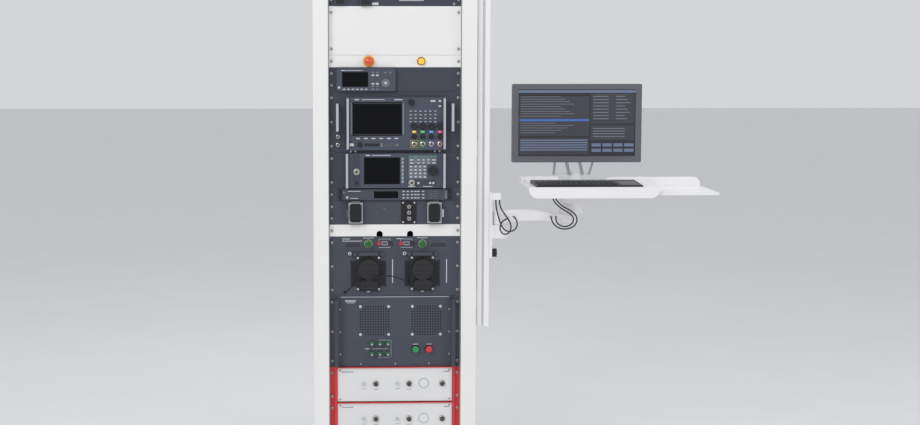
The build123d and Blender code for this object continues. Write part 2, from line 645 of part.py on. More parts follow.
LEAD_ROUTES = (
    (
        (-85, LEAD_Y - 6, INLET_Z - 38), (-85, LEAD_Y - 20, INLET_Z - 38), (-76, LEAD_Y - 30, INLET_Z - 32),
        (-60, LEAD_Y - 33, INLET_Z - 25), (-42, LEAD_Y - 31, INLET_Z - 20), (-23, LEAD_Y - 27, INLET_Z - 19),
        (-4, LEAD_Y - 22, INLET_Z - 23), (14, LEAD_Y - 18, INLET_Z - 30), (31, LEAD_Y - 13, INLET_Z - 38),
        (45, LEAD_Y - 3, INLET_Z - 44), (50, PANEL_Y - 20, INLET_Z - 46), (50, PANEL_Y - 6, INLET_Z - 46),
    ),
    (
        (-111, LEAD_Y - 6, INLET_Z - 38), (-111, LEAD_Y - 20, INLET_Z - 38), (-120, LEAD_Y - 29, INLET_Z - 40),
        (-135, LEAD_Y - 31, INLET_Z - 45), (-150, LEAD_Y - 28, INLET_Z - 53), (-163, LEAD_Y - 22, INLET_Z - 63),
        (-174, LEAD_Y - 14, INLET_Z - 74), (-182, LEAD_Y - 4, INLET_Z - 83), (-186, LEAD_Y + 7, INLET_Z - 88),
        (-186, PANEL_Y - 6, INLET_Z - 88),
    ),
)


def lead_radii(route):
    """Arc radius for each corner of a route: 0.45 of the shorter run over the half turn's tangent."""
    radii = []
    for before, corner, after in zip(route, route[1:], route[2:]):
        a = Vector(corner) - Vector(before)
        b = Vector(after) - Vector(corner)
        half = radians(a.get_angle(b)) / 2
        radii.append(0.45 * min(a.length, b.length) / (sin(half) / cos(half)))
    return radii


def strand(route, radius):
    """Adds one round lead to the open part, along runs joined by tangent arcs."""
    radii = lead_radii(route)
    with BuildLine(mode=Mode.PRIVATE) as line:
        FilletPolyline(*route, radius=radii)
    path = line.wires()[0]
    with BuildSketch(Plane(path @ 0, z_dir=path % 0), mode=Mode.PRIVATE) as ring:
        Circle(radius)
    tube = sweep(ring.sketch, path=path)
    ratio = tube.volume / (ring.sketch.area * path.length)
    print("bend radii", [round(value) for value in radii])
    print("length", round(path.length), "volume over section times length", round(ratio, 3))


with BuildPart() as charge_lead:
    for route in LEAD_ROUTES:
        strand(route, LEAD_R)
save(charge_lead.part, "charge_lead")

# ---- load panel -----------------------------------------------------------------------------

FAN_X = (-75.4, 117.4)
FAN_Z = BOTTOM["load"] + 174
FAN_SIZE = 120.0
FAN_DEPTH = 32.0
FAN_BORE_R = 57.0
ROTOR_R = 54.0
HUB_DISC_R = 20.0
MOTOR_R = 17.0
BUTTON_Z = BOTTOM["load"] + 67
START_X, HALT_X = 77.0, 127.0
LOAD_BUTTON_R = 8.0
POST_X = (-85.4, -55.4, -25.4)
POST_Z = (BOTTOM["load"] + 48, BOTTOM["load"] + 87)

with BuildPart() as load_panel:
    front_panel("load")
    low, high = span("load")
    case_plates(around(0, 440), (PANEL_BACK + SEAM, 100), (low + 2, high - 2))
    for x in (START_X, HALT_X):
        peg((x, PANEL_BACK, BUTTON_Z), LOAD_BUTTON_R + 1, PANEL_T, TOWARD, Mode.SUBTRACT)
    for x in POST_X:
        for z in POST_Z:
            peg((x, PANEL_Y - SEAM, z), 8, 16 - SEAM, TOWARD)
save(load_panel.part, "load_panel")

with BuildPart() as fan_frames:
    for x in FAN_X:
        fan_y = (PANEL_BACK + SEAM, PANEL_BACK + FAN_DEPTH)
        block(around(x, FAN_SIZE), fan_y, around(FAN_Z, FAN_SIZE))
        peg((x, fan_y[1], FAN_Z), FAN_BORE_R, FAN_DEPTH, TOWARD, Mode.SUBTRACT)
        for tall in (False, True):
            size = (8, 2 * FAN_BORE_R) if tall else (2 * FAN_BORE_R, 8)
            block(around(x, size[0]), (fan_y[1] - 3, fan_y[1]), around(FAN_Z, size[1]))
        peg((x, fan_y[1], FAN_Z), MOTOR_R, 12, TOWARD)
        peg((x, fan_y[1] - 12, FAN_Z), SHAFT_R, 12, TOWARD)
save(fan_frames.part, "fan_frames")

BLADES = 7
for word, fan_x in zip(("left", "right"), FAN_X):
    with BuildPart() as rotor:
        front_y = PANEL_BACK + 4
        peg((fan_x, front_y + 14, FAN_Z), HUB_DISC_R, 14, TOWARD)
        blade_plane = Plane(origin=(fan_x, front_y + 12, FAN_Z), x_dir=RIGHT, z_dir=TOWARD)
        with BuildSketch(blade_plane):
            with PolarLocations((HUB_DISC_R + ROTOR_R) / 2 - 1, BLADES):
                Rectangle(ROTOR_R - HUB_DISC_R, 20)
            Circle(ROTOR_R, mode=Mode.INTERSECT)
        extrude(amount=3)
        peg((fan_x, front_y + 15, FAN_Z), SHAFT_R + FIT, 12, TOWARD, Mode.SUBTRACT)
    save(rotor.part, f"fan_rotor_{word}")

for word, x in (("start", START_X), ("halt", HALT_X)):
    with BuildPart() as push:
        peg((x, PANEL_BACK + 22, BUTTON_Z), LOAD_BUTTON_R, 22 + PANEL_T + 14, TOWARD)
        peg((x, PANEL_Y - 9, BUTTON_Z), LOAD_BUTTON_R + 4, 6, TOWARD)
    save(push.part, f"{word}_button")

# ---- signal modules ---------------------------------------------------------------------------

MODULE_PORTS = ((-116, 4), (-71, 8.5), (10, 4), (53, 8.5), (177, 8.5))
EAR_BAR = 27.0
EAR_PROUD = 10.0
LIP_T = 3.0
RIB_W = 9.0

with BuildPart() as signal_modules:
    for name in ("upper_module", "lower_module"):
        low, high = span(name)
        block(around(0, PANEL_WIDTH - 2 * EAR_BAR - 2), (PANEL_Y - 4, PANEL_BACK), (low + 3, high - 4))
        case_plates(around(0, 430), (PANEL_BACK + SEAM, 0), (low + 3, high - 4))
        for x, radius in MODULE_PORTS:
            peg((x, PANEL_Y - 4 - SEAM, BOTTOM[name] + 70), radius, 10 - SEAM, TOWARD)
save(signal_modules.part, "signal_modules")

with BuildPart() as module_frames:
    for name in ("upper_module", "lower_module"):
        low, high = span(name)
        for side in (-1, 1):
            ear_x = sorted((side * PANEL_WIDTH / 2, side * (PANEL_WIDTH / 2 - EAR_BAR)))
            block(ear_x, (PANEL_Y, PANEL_BACK), (low, high))
            rib_x = sorted((side * (PANEL_WIDTH / 2 - EAR_BAR), side * (PANEL_WIDTH / 2 - EAR_BAR + RIB_W)))
            block(rib_x, (PANEL_Y - EAR_PROUD, PANEL_Y - SEAM), (low, high))
        lip_x = around(0, PANEL_WIDTH - 2 * EAR_BAR - 2 * SEAM)
        block(lip_x, (PANEL_Y - EAR_PROUD, PANEL_BACK), (high - LIP_T, high))
        for hole_x, hole_z in ear_places(name):
            peg((hole_x, PANEL_BACK, hole_z), EAR_HOLE_R, PANEL_T, TOWARD, Mode.SUBTRACT)
save(module_frames.part, "module_frames")

# ---- front handles ---------------------------------------------------------------------------

ADAPTER_HANDLE_X = 211.5
SCOPE_HANDLE_X = (-173.7, 181.0)
ANALYZER_HANDLE_X = (-176.9, 180.2)
SOURCE_HANDLE_X = 205.0
LOAD_HANDLE_X = 216.0

with BuildPart() as front_handles:
    scope_low = BOTTOM["scope"]
    for side in (-1, 1):
        bar_handle(side * ADAPTER_HANDLE_X, (scope_low + 78, scope_low + 179), PANEL_Y)
        low, high = span("source")
        bar_handle(side * SOURCE_HANDLE_X, (low + 4, high - 4), PANEL_Y, 7, 30, 8, 7)
        low, high = span("load")
        bar_handle(side * LOAD_HANDLE_X, (low + 4, high - 8), PANEL_Y, 14, 34, 16, 10)
    for x in SCOPE_HANDLE_X:
        bar_handle(x, (SCOPE_Z[0] + 4, SCOPE_Z[1] - 4), SCOPE_FACE, 8, 16, 14, 7)
    for x in ANALYZER_HANDLE_X:
        bar_handle(x, (ANALYZER_Z[0] + 1, ANALYZER_Z[1] - 1), PANEL_Y, 8, 42, 12, 8)
save(front_handles.part, "front_handles")

# ---- mast and operator arm -----------------------------------------------------------------------

with BuildPart() as mast:
    with BuildSketch(Plane.XY.offset(MAST_BOTTOM)):
        with Locations((MAST_X, MAST_Y)):
            Rectangle(MAST, MAST)
            with PolarLocations(MAST / 2 - SLOT_D / 2, 4):
                Rectangle(SLOT_D, SLOT_W, mode=Mode.SUBTRACT)
    extrude(amount=MAST_TOP - MAST_BOTTOM)
    for height in (MAST_BOTTOM + 80, (MAST_BOTTOM + MAST_TOP) / 2, MAST_TOP - 120):
        block((WIDTH / 2, MAST_X - MAST / 2 - SEAM), around(MAST_Y, MAST - 8), (height, height + 60))
save(mast.part, "mast")

CARRIAGE_X = (MAST_FACE + SLIDE_GAP, MAST_FACE + SLIDE_GAP + 11)
CARRIAGE_Z = (893.0, 1135.0)
TONGUE_D = 8.0
CLAMP_Z = 910.0
CLAMP_R = 16.0
HUB_TOP = ARM_Z - END_GAP
PIN_TOP = ARM_Z + 38

with BuildPart() as arm_carriage:
    block(CARRIAGE_X, around(MAST_Y, 50), CARRIAGE_Z)
    tongue_x = (MAST_FACE - TONGUE_D, CARRIAGE_X[0])
    block(tongue_x, around(MAST_Y, SLOT_W - 2 * SLIDE_GAP), (CARRIAGE_Z[0] + 50, CARRIAGE_Z[1] - 10))
    block((CARRIAGE_X[1], PIVOT_X), around(MAST_Y, 2 * HUB_R - 8), (HUB_TOP - HUB_HEIGHT, HUB_TOP))
    peg((PIVOT_X, MAST_Y, HUB_TOP - HUB_HEIGHT), HUB_R, HUB_HEIGHT, UP)
    peg((PIVOT_X, MAST_Y, HUB_TOP), PIN_R, PIN_TOP - HUB_TOP, UP)
    peg((CARRIAGE_X[1], MAST_Y, CLAMP_Z), 4 + FIT, 20, (-1, 0, 0), Mode.SUBTRACT)
    block((CARRIAGE_X[1], CARRIAGE_X[1] + 30), (MAST_Y - 42, MAST_Y - 12), (CARRIAGE_Z[1] - 24, CARRIAGE_Z[1]))
save(arm_carriage.part, "arm_carriage")

with BuildPart() as clamp_knob:
    peg((CARRIAGE_X[1] + 1, MAST_Y, CLAMP_Z), CLAMP_R, 18, RIGHT)
    peg((CARRIAGE_X[0] + 0.5, MAST_Y, CLAMP_Z), 4, CARRIAGE_X[1] - CARRIAGE_X[0] + 1, RIGHT)
save(clamp_knob.part, "clamp_knob")

ARM_RISE = 12.0
ROOT_T = 47.0
TIP_T = 31.0
TIP_Z = ARM_Z + 8
ELBOW_PIN_R = 8.0
GLAND_R = 5.0
GLAND_T = 5.0
LOWER_GLANDS = [(PIVOT_X + 46, ARM_Z + 31), (PIVOT_X + 21, ARM_Z + 23)]
UPPER_GLANDS = [(ELBOW_X - 62, TIP_Z + 22), (ELBOW_X - 80, TIP_Z + 22)]

with BuildPart() as swing_arm:
    with BuildSketch(Plane(origin=(0, MAST_Y, 0), x_dir=RIGHT, z_dir=TOWARD)):
        with BuildLine():
            flat_x = ELBOW_X - HEAD_R - 4
            middle = (PIVOT_X + flat_x) / 2
            top_z = TIP_Z + TIP_T
            ThreePointArc((PIVOT_X, ARM_Z), (middle, ARM_Z + ARM_RISE), (flat_x, TIP_Z))
            Polyline((flat_x, TIP_Z), (ELBOW_X, TIP_Z), (ELBOW_X, top_z), (flat_x, top_z))
            ThreePointArc((flat_x, top_z), (middle, ARM_Z + ROOT_T + ARM_RISE - 5), (PIVOT_X, ARM_Z + ROOT_T))
            Line((PIVOT_X, ARM_Z + ROOT_T), (PIVOT_X, ARM_Z))
        make_face()
    extrude(amount=ARM_WIDTH / 2, both=True)
    sides = swing_arm.part.faces().sort_by(Axis.Y)
    fillet(sides[0].edges().filter_by(GeomType.CIRCLE) + sides[-1].edges().filter_by(GeomType.CIRCLE), 9)
    peg((PIVOT_X, MAST_Y, ARM_Z), HUB_R - 2, ROOT_T, UP)
    peg((ELBOW_X, MAST_Y, TIP_Z), ELBOW_R, TIP_T, UP)
    peg((PIVOT_X, MAST_Y, ARM_Z), PIN_R + FIT, PIN_TOP - ARM_Z + 1, UP, Mode.SUBTRACT)
    peg((ELBOW_X, MAST_Y, TIP_Z + 6), ELBOW_PIN_R + FIT, TIP_T, UP, Mode.SUBTRACT)
    for x, z in LOWER_GLANDS + UPPER_GLANDS:
        peg((x, MAST_Y - ARM_WIDTH / 2, z), GLAND_R, GLAND_T, TOWARD)
save(swing_arm.part, "swing_arm")

HEAD_Z = TIP_Z + TIP_T + END_GAP
PLATE_T = 30.0
HEAD_TOP = TRAY_TOP - TRAY_SKIRT - SEAM

with BuildPart() as arm_head:
    peg((ELBOW_X, MAST_Y, HEAD_Z), HEAD_R, HEAD_TOP - PLATE_T - HEAD_Z, UP)
    block((ELBOW_X - 43, ELBOW_X + 72), around(MAST_Y, 116), (HEAD_TOP - PLATE_T, HEAD_TOP))
    peg((ELBOW_X, MAST_Y, HEAD_Z), ELBOW_PIN_R, TIP_T - 8, (0, 0, -1))
save(arm_head.part, "arm_head")

# ---- trays --------------------------------------------------------------------------------------

TRAY_CORNER = 34.0
LINK_X = (ELBOW_X + 12, ELBOW_X + 62)  # at the base; the links lean over to one side
LINK_LEAN = (-15.0, -15.0)
LINK_W = 12.0
LINK_R = 6.0
LINK_PIN_R = 3.0
ROD_W = 8.0
ROD_X = (ELBOW_X - 44, ELBOW_X + 91)
ROD_LEAN = (5.0, 18.0)
ROD_Y = LINK_Y + 20
BASE_GAP = 3.0  # room beside the base for the links' lean
BASE_X = (LINK_X[0] + LINK_W / 2 + BASE_GAP, LINK_X[1] - LINK_W / 2 - BASE_GAP)
BASE_Y = (LINK_Y - 8, ROD_Y + 8)



def shaft(x, y, z):
    """Adds the pin that two links of a pair turn on, a little longer than the pair is wide."""
    overhang = LINK_W / 2 + 1
    peg((x[0] - overhang, y, z), LINK_PIN_R, x[1] - x[0] + 2 * overhang, RIGHT)


with BuildPart() as keyboard_tray:
    tray_x = (TRAY_LEFT, TRAY_RIGHT)
    skirt_bottom = TRAY_TOP - TRAY_SKIRT
    block(tray_x, (TRAY_FRONT + TRAY_T, TRAY_BACK), (TRAY_TOP - TRAY_T, TRAY_TOP))
    with BuildSketch(Plane(origin=(0, TRAY_FRONT, 0), x_dir=RIGHT, z_dir=TOWARD)):
        with Locations(((TRAY_LEFT + TRAY_RIGHT) / 2, TRAY_TOP - TRAY_SKIRT / 2)):
            Rectangle(TRAY_WIDTH, TRAY_SKIRT)
    extrude(amount=-TRAY_T)
    skirt_edges = keyboard_tray.part.edges().filter_by(Axis.Y).group_by(Axis.Z)[0]
    fillet(skirt_edges, TRAY_CORNER)
    block((TRAY_LEFT, TRAY_LEFT + TRAY_T), (TRAY_FRONT + TRAY_T, TRAY_BACK),
          (skirt_bottom + TRAY_CORNER, TRAY_TOP - TRAY_T))
    block((TRAY_LEFT, TRAY_LEFT + TRAY_T), (TRAY_BACK - 90, TRAY_BACK), (TRAY_TOP, TRAY_TOP + FENCE))
    block((TRAY_LEFT + TRAY_T, ELBOW_X - 35), (TRAY_BACK - TRAY_T, TRAY_BACK), (TRAY_TOP, TRAY_TOP + FENCE))
    block((ELBOW_X - 43, ELBOW_X + 72), around(MAST_Y, 116), (skirt_bottom, TRAY_TOP - TRAY_T))
    block(BASE_X, (TRAY_BACK - TRAY_T, BASE_Y[1]), (TRAY_TOP - TRAY_T, TRAY_TOP))
    block(BASE_X, BASE_Y, (TRAY_TOP, LINK_BASE_Z + 7))
    shaft(LINK_X, LINK_Y, LINK_BASE_Z)
    shaft(ROD_X, ROD_Y, LINK_BASE_Z)
save(keyboard_tray.part, "keyboard_tray")

MOUSE_Y = (TRAY_FRONT + 14, TRAY_BACK + 8)
with BuildPart() as mouse_tray:
    block((MOUSE_TRAY_LEFT, MOUSE_TRAY_RIGHT), MOUSE_Y, (MOUSE_TRAY_TOP - MOUSE_TRAY_T, MOUSE_TRAY_TOP))
    corners = mouse_tray.part.edges().filter_by(Axis.Z).group_by(Axis.X)[-1]
    fillet(corners, 14)
    fence_x = (MOUSE_TRAY_LEFT + 5, MOUSE_TRAY_RIGHT - 8)
    with BuildSketch(Plane(origin=(0, MOUSE_Y[1], 0), x_dir=RIGHT, z_dir=TOWARD)):
        with Locations(((fence_x[0] + fence_x[1]) / 2, MOUSE_TRAY_TOP + MOUSE_FENCE / 2)):
            Rectangle(fence_x[1] - fence_x[0], MOUSE_FENCE)
    extrude(amount=4)
    top_corners = mouse_tray.part.edges().filter_by(Axis.Y).group_by(Axis.Z)[-1]
    fillet(top_corners, 28)
save(mouse_tray.part, "mouse_tray")

KEYBOARD_X = (501.0, 887.0)
KEYBOARD_Y = (TRAY_FRONT + 12, TRAY_FRONT + 188)
KEYBOARD_FRONT = 5.0  # height of the case at its front edge
KEYBOARD_BACK = 12.0
with BuildPart() as keyboard:
    base = TRAY_TOP + SEAM
    with BuildSketch(Plane(origin=(KEYBOARD_X[0], 0, 0), x_dir=INTO, z_dir=RIGHT)):
        with BuildLine():
            front, back = KEYBOARD_Y
            front_top, back_top = base + KEYBOARD_FRONT, base + KEYBOARD_BACK
            Polyline((front, base), (back, base), (back, back_top), (front, front_top), (front, base))
        make_face()
    extrude(amount=KEYBOARD_X[1] - KEYBOARD_X[0])
save(keyboard.part, "keyboard")

# ---- monitor support: two pairs of links on a base block, a bracket, the tilting monitor ---------

BRACKET_Z = LINK_BASE_Z + LINK_LENGTH


def link_bar(x, lean, y, width, top_gap=FIT):
    """Adds a link with round ends that leans to one side, bored for its two pins."""
    with BuildSketch(Plane(origin=(x, y, LINK_BASE_Z), x_dir=RIGHT, z_dir=TOWARD), mode=Mode.PRIVATE) as web:
        with BuildLine():
            half = width / 2
            Polyline((-half, 0), (half, 0), (lean + half, LINK_LENGTH), (lean - half, LINK_LENGTH), (-half, 0))
        make_face()
    extrude(web.sketch, amount=LINK_R, both=True)
    for end_x, z in ((x, LINK_BASE_Z), (x + lean, BRACKET_Z)):
        peg((end_x - width / 2, y, z), LINK_R, width, RIGHT)
    for end_x, z, gap in ((x, LINK_BASE_Z, FIT), (x + lean, BRACKET_Z, top_gap)):
        peg((end_x - width, y, z), LINK_PIN_R + gap, 2 * width, RIGHT, Mode.SUBTRACT)


with BuildPart() as monitor_links:
    for x, lean in zip(LINK_X, LINK_LEAN):
        link_bar(x, lean, LINK_Y, LINK_W)
save(monitor_links.part, "monitor_links")

with BuildPart() as monitor_rods:
    for x, lean in zip(ROD_X, ROD_LEAN):
        link_bar(x, lean, ROD_Y, ROD_W, OPEN_PIVOT_GAP)
save(monitor_rods.part, "monitor_rods")

TILT_Y = LINK_Y - 12
TILT_R = 5.0
SCREEN_BACK = SCREEN_Y + SCREEN_T
TOP_X = (BASE_X[0] + LINK_LEAN[0], BASE_X[1] + LINK_LEAN[1])
POST_X_RANGE = (TOP_X[0] + 8, TOP_X[1] - 8)

with BuildPart() as monitor_bracket:
    block(TOP_X, BASE_Y, (BRACKET_Z - 7, BRACKET_Z + 12))
    shaft([x + lean for x, lean in zip(LINK_X, LINK_LEAN)], LINK_Y, BRACKET_Z)
    shaft([x + lean for x, lean in zip(ROD_X, ROD_LEAN)], ROD_Y, BRACKET_Z)
    block(POST_X_RANGE, (LINK_Y - 2, LINK_Y + 12), (BRACKET_Z + 12, SCREEN_Z))
    block(POST_X_RANGE, (TILT_Y, LINK_Y + 12), around(SCREEN_Z, 2 * TILT_R + 6))
    peg((POST_X_RANGE[0] - 8, TILT_Y, SCREEN_Z), TILT_R, POST_X_RANGE[1] - POST_X_RANGE[0] + 16, RIGHT)
save(monitor_bracket.part, "monitor_bracket")

BEZEL = 23.0
BEZEL_TOP = 20.0

with BuildPart() as monitor_housing:
    block(around(SCREEN_X, SCREEN_W), (SCREEN_Y, SCREEN_BACK - 10), around(SCREEN_Z, SCREEN_H))
    outline = monitor_housing.part.edges().filter_by(Axis.Y)
    fillet(outline, 6)
    block(around(SCREEN_X, SCREEN_W - 70), (SCREEN_BACK - 10, SCREEN_BACK), around(SCREEN_Z, SCREEN_H - 70))
    block(around(SCREEN_X, SCREEN_W - 2 * BEZEL), (SCREEN_Y, SCREEN_Y + 2),
          (SCREEN_Z - SCREEN_H / 2 + BEZEL, SCREEN_Z + SCREEN_H / 2 - BEZEL_TOP), Mode.SUBTRACT)
    for ear_x in (POST_X_RANGE[0] - 8, POST_X_RANGE[1] + 1):
        block((ear_x, ear_x + 7), (SCREEN_BACK, TILT_Y + 9), around(SCREEN_Z, 30))
        peg((ear_x, TILT_Y, SCREEN_Z), TILT_R + FIT, 7, RIGHT, Mode.SUBTRACT)
save(monitor_housing.part, "monitor_housing")

# ---- leads of the arm: hand-chosen routes past the two pivots ---------------------------------------

CABLE_R = 2.5
GLAND_Y = MAST_Y - ARM_WIDTH / 2 - GLAND_T
CLIP_Z = CARRIAGE_Z[1] - 24

LOWER_ROUTES = (
    (
        (372, MAST_Y - 34, CLIP_Z), (372, MAST_Y - 34, CLIP_Z - 18), (375, MAST_Y - 38, CLIP_Z - 38),
        (379.5, MAST_Y - 43, CLIP_Z - 59), (386, MAST_Y - 48, CLIP_Z - 82), (395, MAST_Y - 52, CLIP_Z - 103),
        (411, MAST_Y - 56, CLIP_Z - 116), (431, MAST_Y - 60, CLIP_Z - 115), (446, MAST_Y - 63, CLIP_Z - 102),
        (449, MAST_Y - 64, CLIP_Z - 83), (443, MAST_Y - 57, CLIP_Z - 69), (438.5, MAST_Y - 43, CLIP_Z - 63),
        (438.5, GLAND_Y, CLIP_Z - 63),
    ),
    (
        (386, MAST_Y - 30, CLIP_Z), (386, MAST_Y - 30, CLIP_Z - 18), (393, MAST_Y - 36, CLIP_Z - 37),
        (404, MAST_Y - 46, CLIP_Z - 54), (416, MAST_Y - 57, CLIP_Z - 70), (425, MAST_Y - 67, CLIP_Z - 89),
        (424, MAST_Y - 73, CLIP_Z - 109), (411, MAST_Y - 76, CLIP_Z - 124), (393, MAST_Y - 76, CLIP_Z - 123),
        (383, MAST_Y - 74, CLIP_Z - 107), (385, MAST_Y - 69, CLIP_Z - 89), (395, MAST_Y - 61, CLIP_Z - 76),
        (408, MAST_Y - 52, CLIP_Z - 71), (413.5, MAST_Y - 39, CLIP_Z - 71), (413.5, GLAND_Y, CLIP_Z - 71),
    ),
)
UPPER_ROUTES = (
    (
        (ELBOW_X - 43, MAST_Y - 30, TRAY_TOP - 16), (ELBOW_X - 58, MAST_Y - 30, TRAY_TOP - 16),
        (ELBOW_X - 72, MAST_Y - 34, TRAY_TOP - 26), (ELBOW_X - 78, MAST_Y - 41, TRAY_TOP - 44),
        (ELBOW_X - 72, MAST_Y - 48, TRAY_TOP - 65), (ELBOW_X - 56, MAST_Y - 54, TRAY_TOP - 82),
        (ELBOW_X - 36, MAST_Y - 58, TRAY_TOP - 96), (ELBOW_X - 15, MAST_Y - 59, TRAY_TOP - 108),
        (ELBOW_X + 1, MAST_Y - 58, TRAY_TOP - 123), (ELBOW_X - 1, MAST_Y - 56, TRAY_TOP - 143),
        (ELBOW_X - 17, MAST_Y - 55, TRAY_TOP - 156), (ELBOW_X - 37, MAST_Y - 57, TRAY_TOP - 158),
        (ELBOW_X - 55, MAST_Y - 59, TRAY_TOP - 150), (ELBOW_X - 65, MAST_Y - 55, TRAY_TOP - 135),
        (ELBOW_X - 62, MAST_Y - 45, TIP_Z + 22), (ELBOW_X - 62, GLAND_Y, TIP_Z + 22),
    ),
    (
        (ELBOW_X - 43, MAST_Y - 44, TRAY_TOP - 16), (ELBOW_X - 60, MAST_Y - 44, TRAY_TOP - 16),
        (ELBOW_X - 71, MAST_Y - 49, TRAY_TOP - 29), (ELBOW_X - 70, MAST_Y - 58, TRAY_TOP - 50),
        (ELBOW_X - 57, MAST_Y - 65, TRAY_TOP - 69), (ELBOW_X - 38, MAST_Y - 69, TRAY_TOP - 84),
        (ELBOW_X - 16, MAST_Y - 70, TRAY_TOP - 95), (ELBOW_X + 4, MAST_Y - 70, TRAY_TOP - 109),
        (ELBOW_X + 13, MAST_Y - 69, TRAY_TOP - 130), (ELBOW_X + 6, MAST_Y - 67, TRAY_TOP - 151),
        (ELBOW_X - 13, MAST_Y - 65, TRAY_TOP - 163), (ELBOW_X - 36, MAST_Y - 63, TRAY_TOP - 167),
        (ELBOW_X - 58, MAST_Y - 61, TRAY_TOP - 161), (ELBOW_X - 74, MAST_Y - 58, TRAY_TOP - 147),
        (ELBOW_X - 80, MAST_Y - 51, TRAY_TOP - 132), (ELBOW_X - 80, MAST_Y - 41, TIP_Z + 22),
        (ELBOW_X - 80, GLAND_Y, TIP_Z + 22),
    ),
)

with BuildPart() as arm_cables_lower:
    for route in LOWER_ROUTES:
        strand(route, CABLE_R)
save(arm_cables_lower.part, "arm_cables_lower")

with BuildPart() as arm_cables_upper:
    for route in UPPER_ROUTES:
        strand(route, CABLE_R)
save(arm_cables_upper.part, "arm_cables_upper")
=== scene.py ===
# %% [markdown]
# A cabinet of electronic test instruments, with a swing-out arm for a keyboard and a screen.
# The cabinet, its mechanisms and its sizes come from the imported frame. This notebook gives every
# part its finish and adds the small things that make an instrument front: keys, screens, sockets,
# grilles, screws and cables. The first cell loads the frame and keeps its box, which nothing here may
# outgrow.

# %% Load the frame
import math

import bmesh
import bpy
from mathutils import Matrix, Vector


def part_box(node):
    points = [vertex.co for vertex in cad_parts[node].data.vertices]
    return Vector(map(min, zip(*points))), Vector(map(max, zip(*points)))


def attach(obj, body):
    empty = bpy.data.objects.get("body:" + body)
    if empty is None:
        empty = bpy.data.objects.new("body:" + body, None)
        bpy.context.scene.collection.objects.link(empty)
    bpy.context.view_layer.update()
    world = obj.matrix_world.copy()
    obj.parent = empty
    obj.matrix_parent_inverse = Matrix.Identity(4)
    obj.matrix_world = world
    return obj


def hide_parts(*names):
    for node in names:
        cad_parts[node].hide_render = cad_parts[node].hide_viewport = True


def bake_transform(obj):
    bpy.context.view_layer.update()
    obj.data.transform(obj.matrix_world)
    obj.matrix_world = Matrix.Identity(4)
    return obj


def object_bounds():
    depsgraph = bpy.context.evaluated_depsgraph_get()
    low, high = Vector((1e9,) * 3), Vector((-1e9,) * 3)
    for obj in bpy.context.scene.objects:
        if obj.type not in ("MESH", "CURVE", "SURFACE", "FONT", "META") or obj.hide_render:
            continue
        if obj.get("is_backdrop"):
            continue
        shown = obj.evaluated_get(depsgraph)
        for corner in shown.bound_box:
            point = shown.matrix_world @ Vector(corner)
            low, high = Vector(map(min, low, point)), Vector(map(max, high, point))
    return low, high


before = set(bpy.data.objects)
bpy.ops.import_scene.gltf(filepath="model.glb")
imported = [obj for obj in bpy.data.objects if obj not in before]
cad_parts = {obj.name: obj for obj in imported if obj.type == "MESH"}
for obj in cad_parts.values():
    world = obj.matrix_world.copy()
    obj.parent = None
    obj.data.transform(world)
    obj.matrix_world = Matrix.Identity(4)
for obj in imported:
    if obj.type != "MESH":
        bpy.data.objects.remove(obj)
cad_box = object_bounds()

print("CAD box", [tuple(round(v, 3) for v in corner) for corner in cad_box])

# %% [markdown]
# Everything on the cabinet's front sits on the 19 inch grid: a rack unit is 44.45 mm high. The list of
# instruments from the top down gives each one's lowest edge, and `spot` turns a place on an instrument's
# front, in millimetres from the cabinet's middle and from that edge, into a point in metres.

# %% The grid of rack units
MM = 0.001
UNIT = 44.45 * MM
STACK = (("power", 3), ("blank", 4), ("control", 1), ("logger", 2), ("scope", 5), ("analyzer", 3),
         ("source", 1), ("connector", 2), ("cable", 1), ("charge", 5), ("load", 6),
         ("upper_module", 3), ("lower_module", 3), ("vent", 2))
RAILS_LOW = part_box("rack_rails")[0]
level = RAILS_LOW[2] + sum(units for _, units in STACK) * UNIT
BOTTOM = {}
for name, units in STACK:
    level -= units * UNIT
    BOTTOM[name] = level
UNITS = dict(STACK)
PANEL_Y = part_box("blank_panels")[0][1]
FACE = {"logger": PANEL_Y - 14 * MM, "scope": PANEL_Y - 18 * MM, "analyzer": PANEL_Y - 20 * MM,
        "source": PANEL_Y - 12 * MM, "upper_module": PANEL_Y - 4 * MM, "lower_module": PANEL_Y - 4 * MM}
CABINET = "cabinet"


def face_of(unit):
    """Y of an instrument's front surface."""
    return FACE.get(unit, PANEL_Y)


def spot(unit, x, height, proud=0.0):
    """A point on an instrument's front: millimetres across, up and out from its surface."""
    return Vector((x * MM, face_of(unit) - proud * MM, BOTTOM[unit] + height * MM))


print("front plane of the panels", round(PANEL_Y, 4), "lowest unit", round(level, 4))

# %% [markdown]
# The camera stands at eye height, a little to the left of the cabinet, about six metres away, and looks
# slightly down. A lens of about 60 mm gives the flat, catalogue-like perspective. The small sideways shift
# of the lens keeps the panels' edges parallel while the view takes in the arm on the right.

# %% Camera
camera_data = bpy.data.cameras.new("camera")
camera = bpy.data.objects.new("camera", camera_data)
bpy.context.scene.collection.objects.link(camera)
CAMERA_PLACE = Vector((-0.2452, -6.2525, 1.655))
CAMERA_TARGET = Vector((-0.0322, -0.4525, 1.0656))
camera.location = CAMERA_PLACE
camera.rotation_euler = (CAMERA_TARGET - CAMERA_PLACE).to_track_quat("-Z", "Y").to_euler()
camera_data.lens = 62.1
camera_data.shift_x = 0.08
camera_data.clip_end = 100
bpy.context.scene.camera = camera
bpy.context.scene.view_settings.view_transform = "Standard"
print("camera distance", round((CAMERA_TARGET - CAMERA_PLACE).length, 3), "m")

# %% [markdown]
# A material here is a Principled shader with two noises on Object coordinates: a broad one that shifts
# the colour a little, as paint and plastic do, and a fine one for the grain that catches the light.
# The grain's size and depth are what tell powder coat, moulded plastic and bare metal apart. Two finishes
# change colour at set places along an axis, because one frame part carries pieces of different colours.

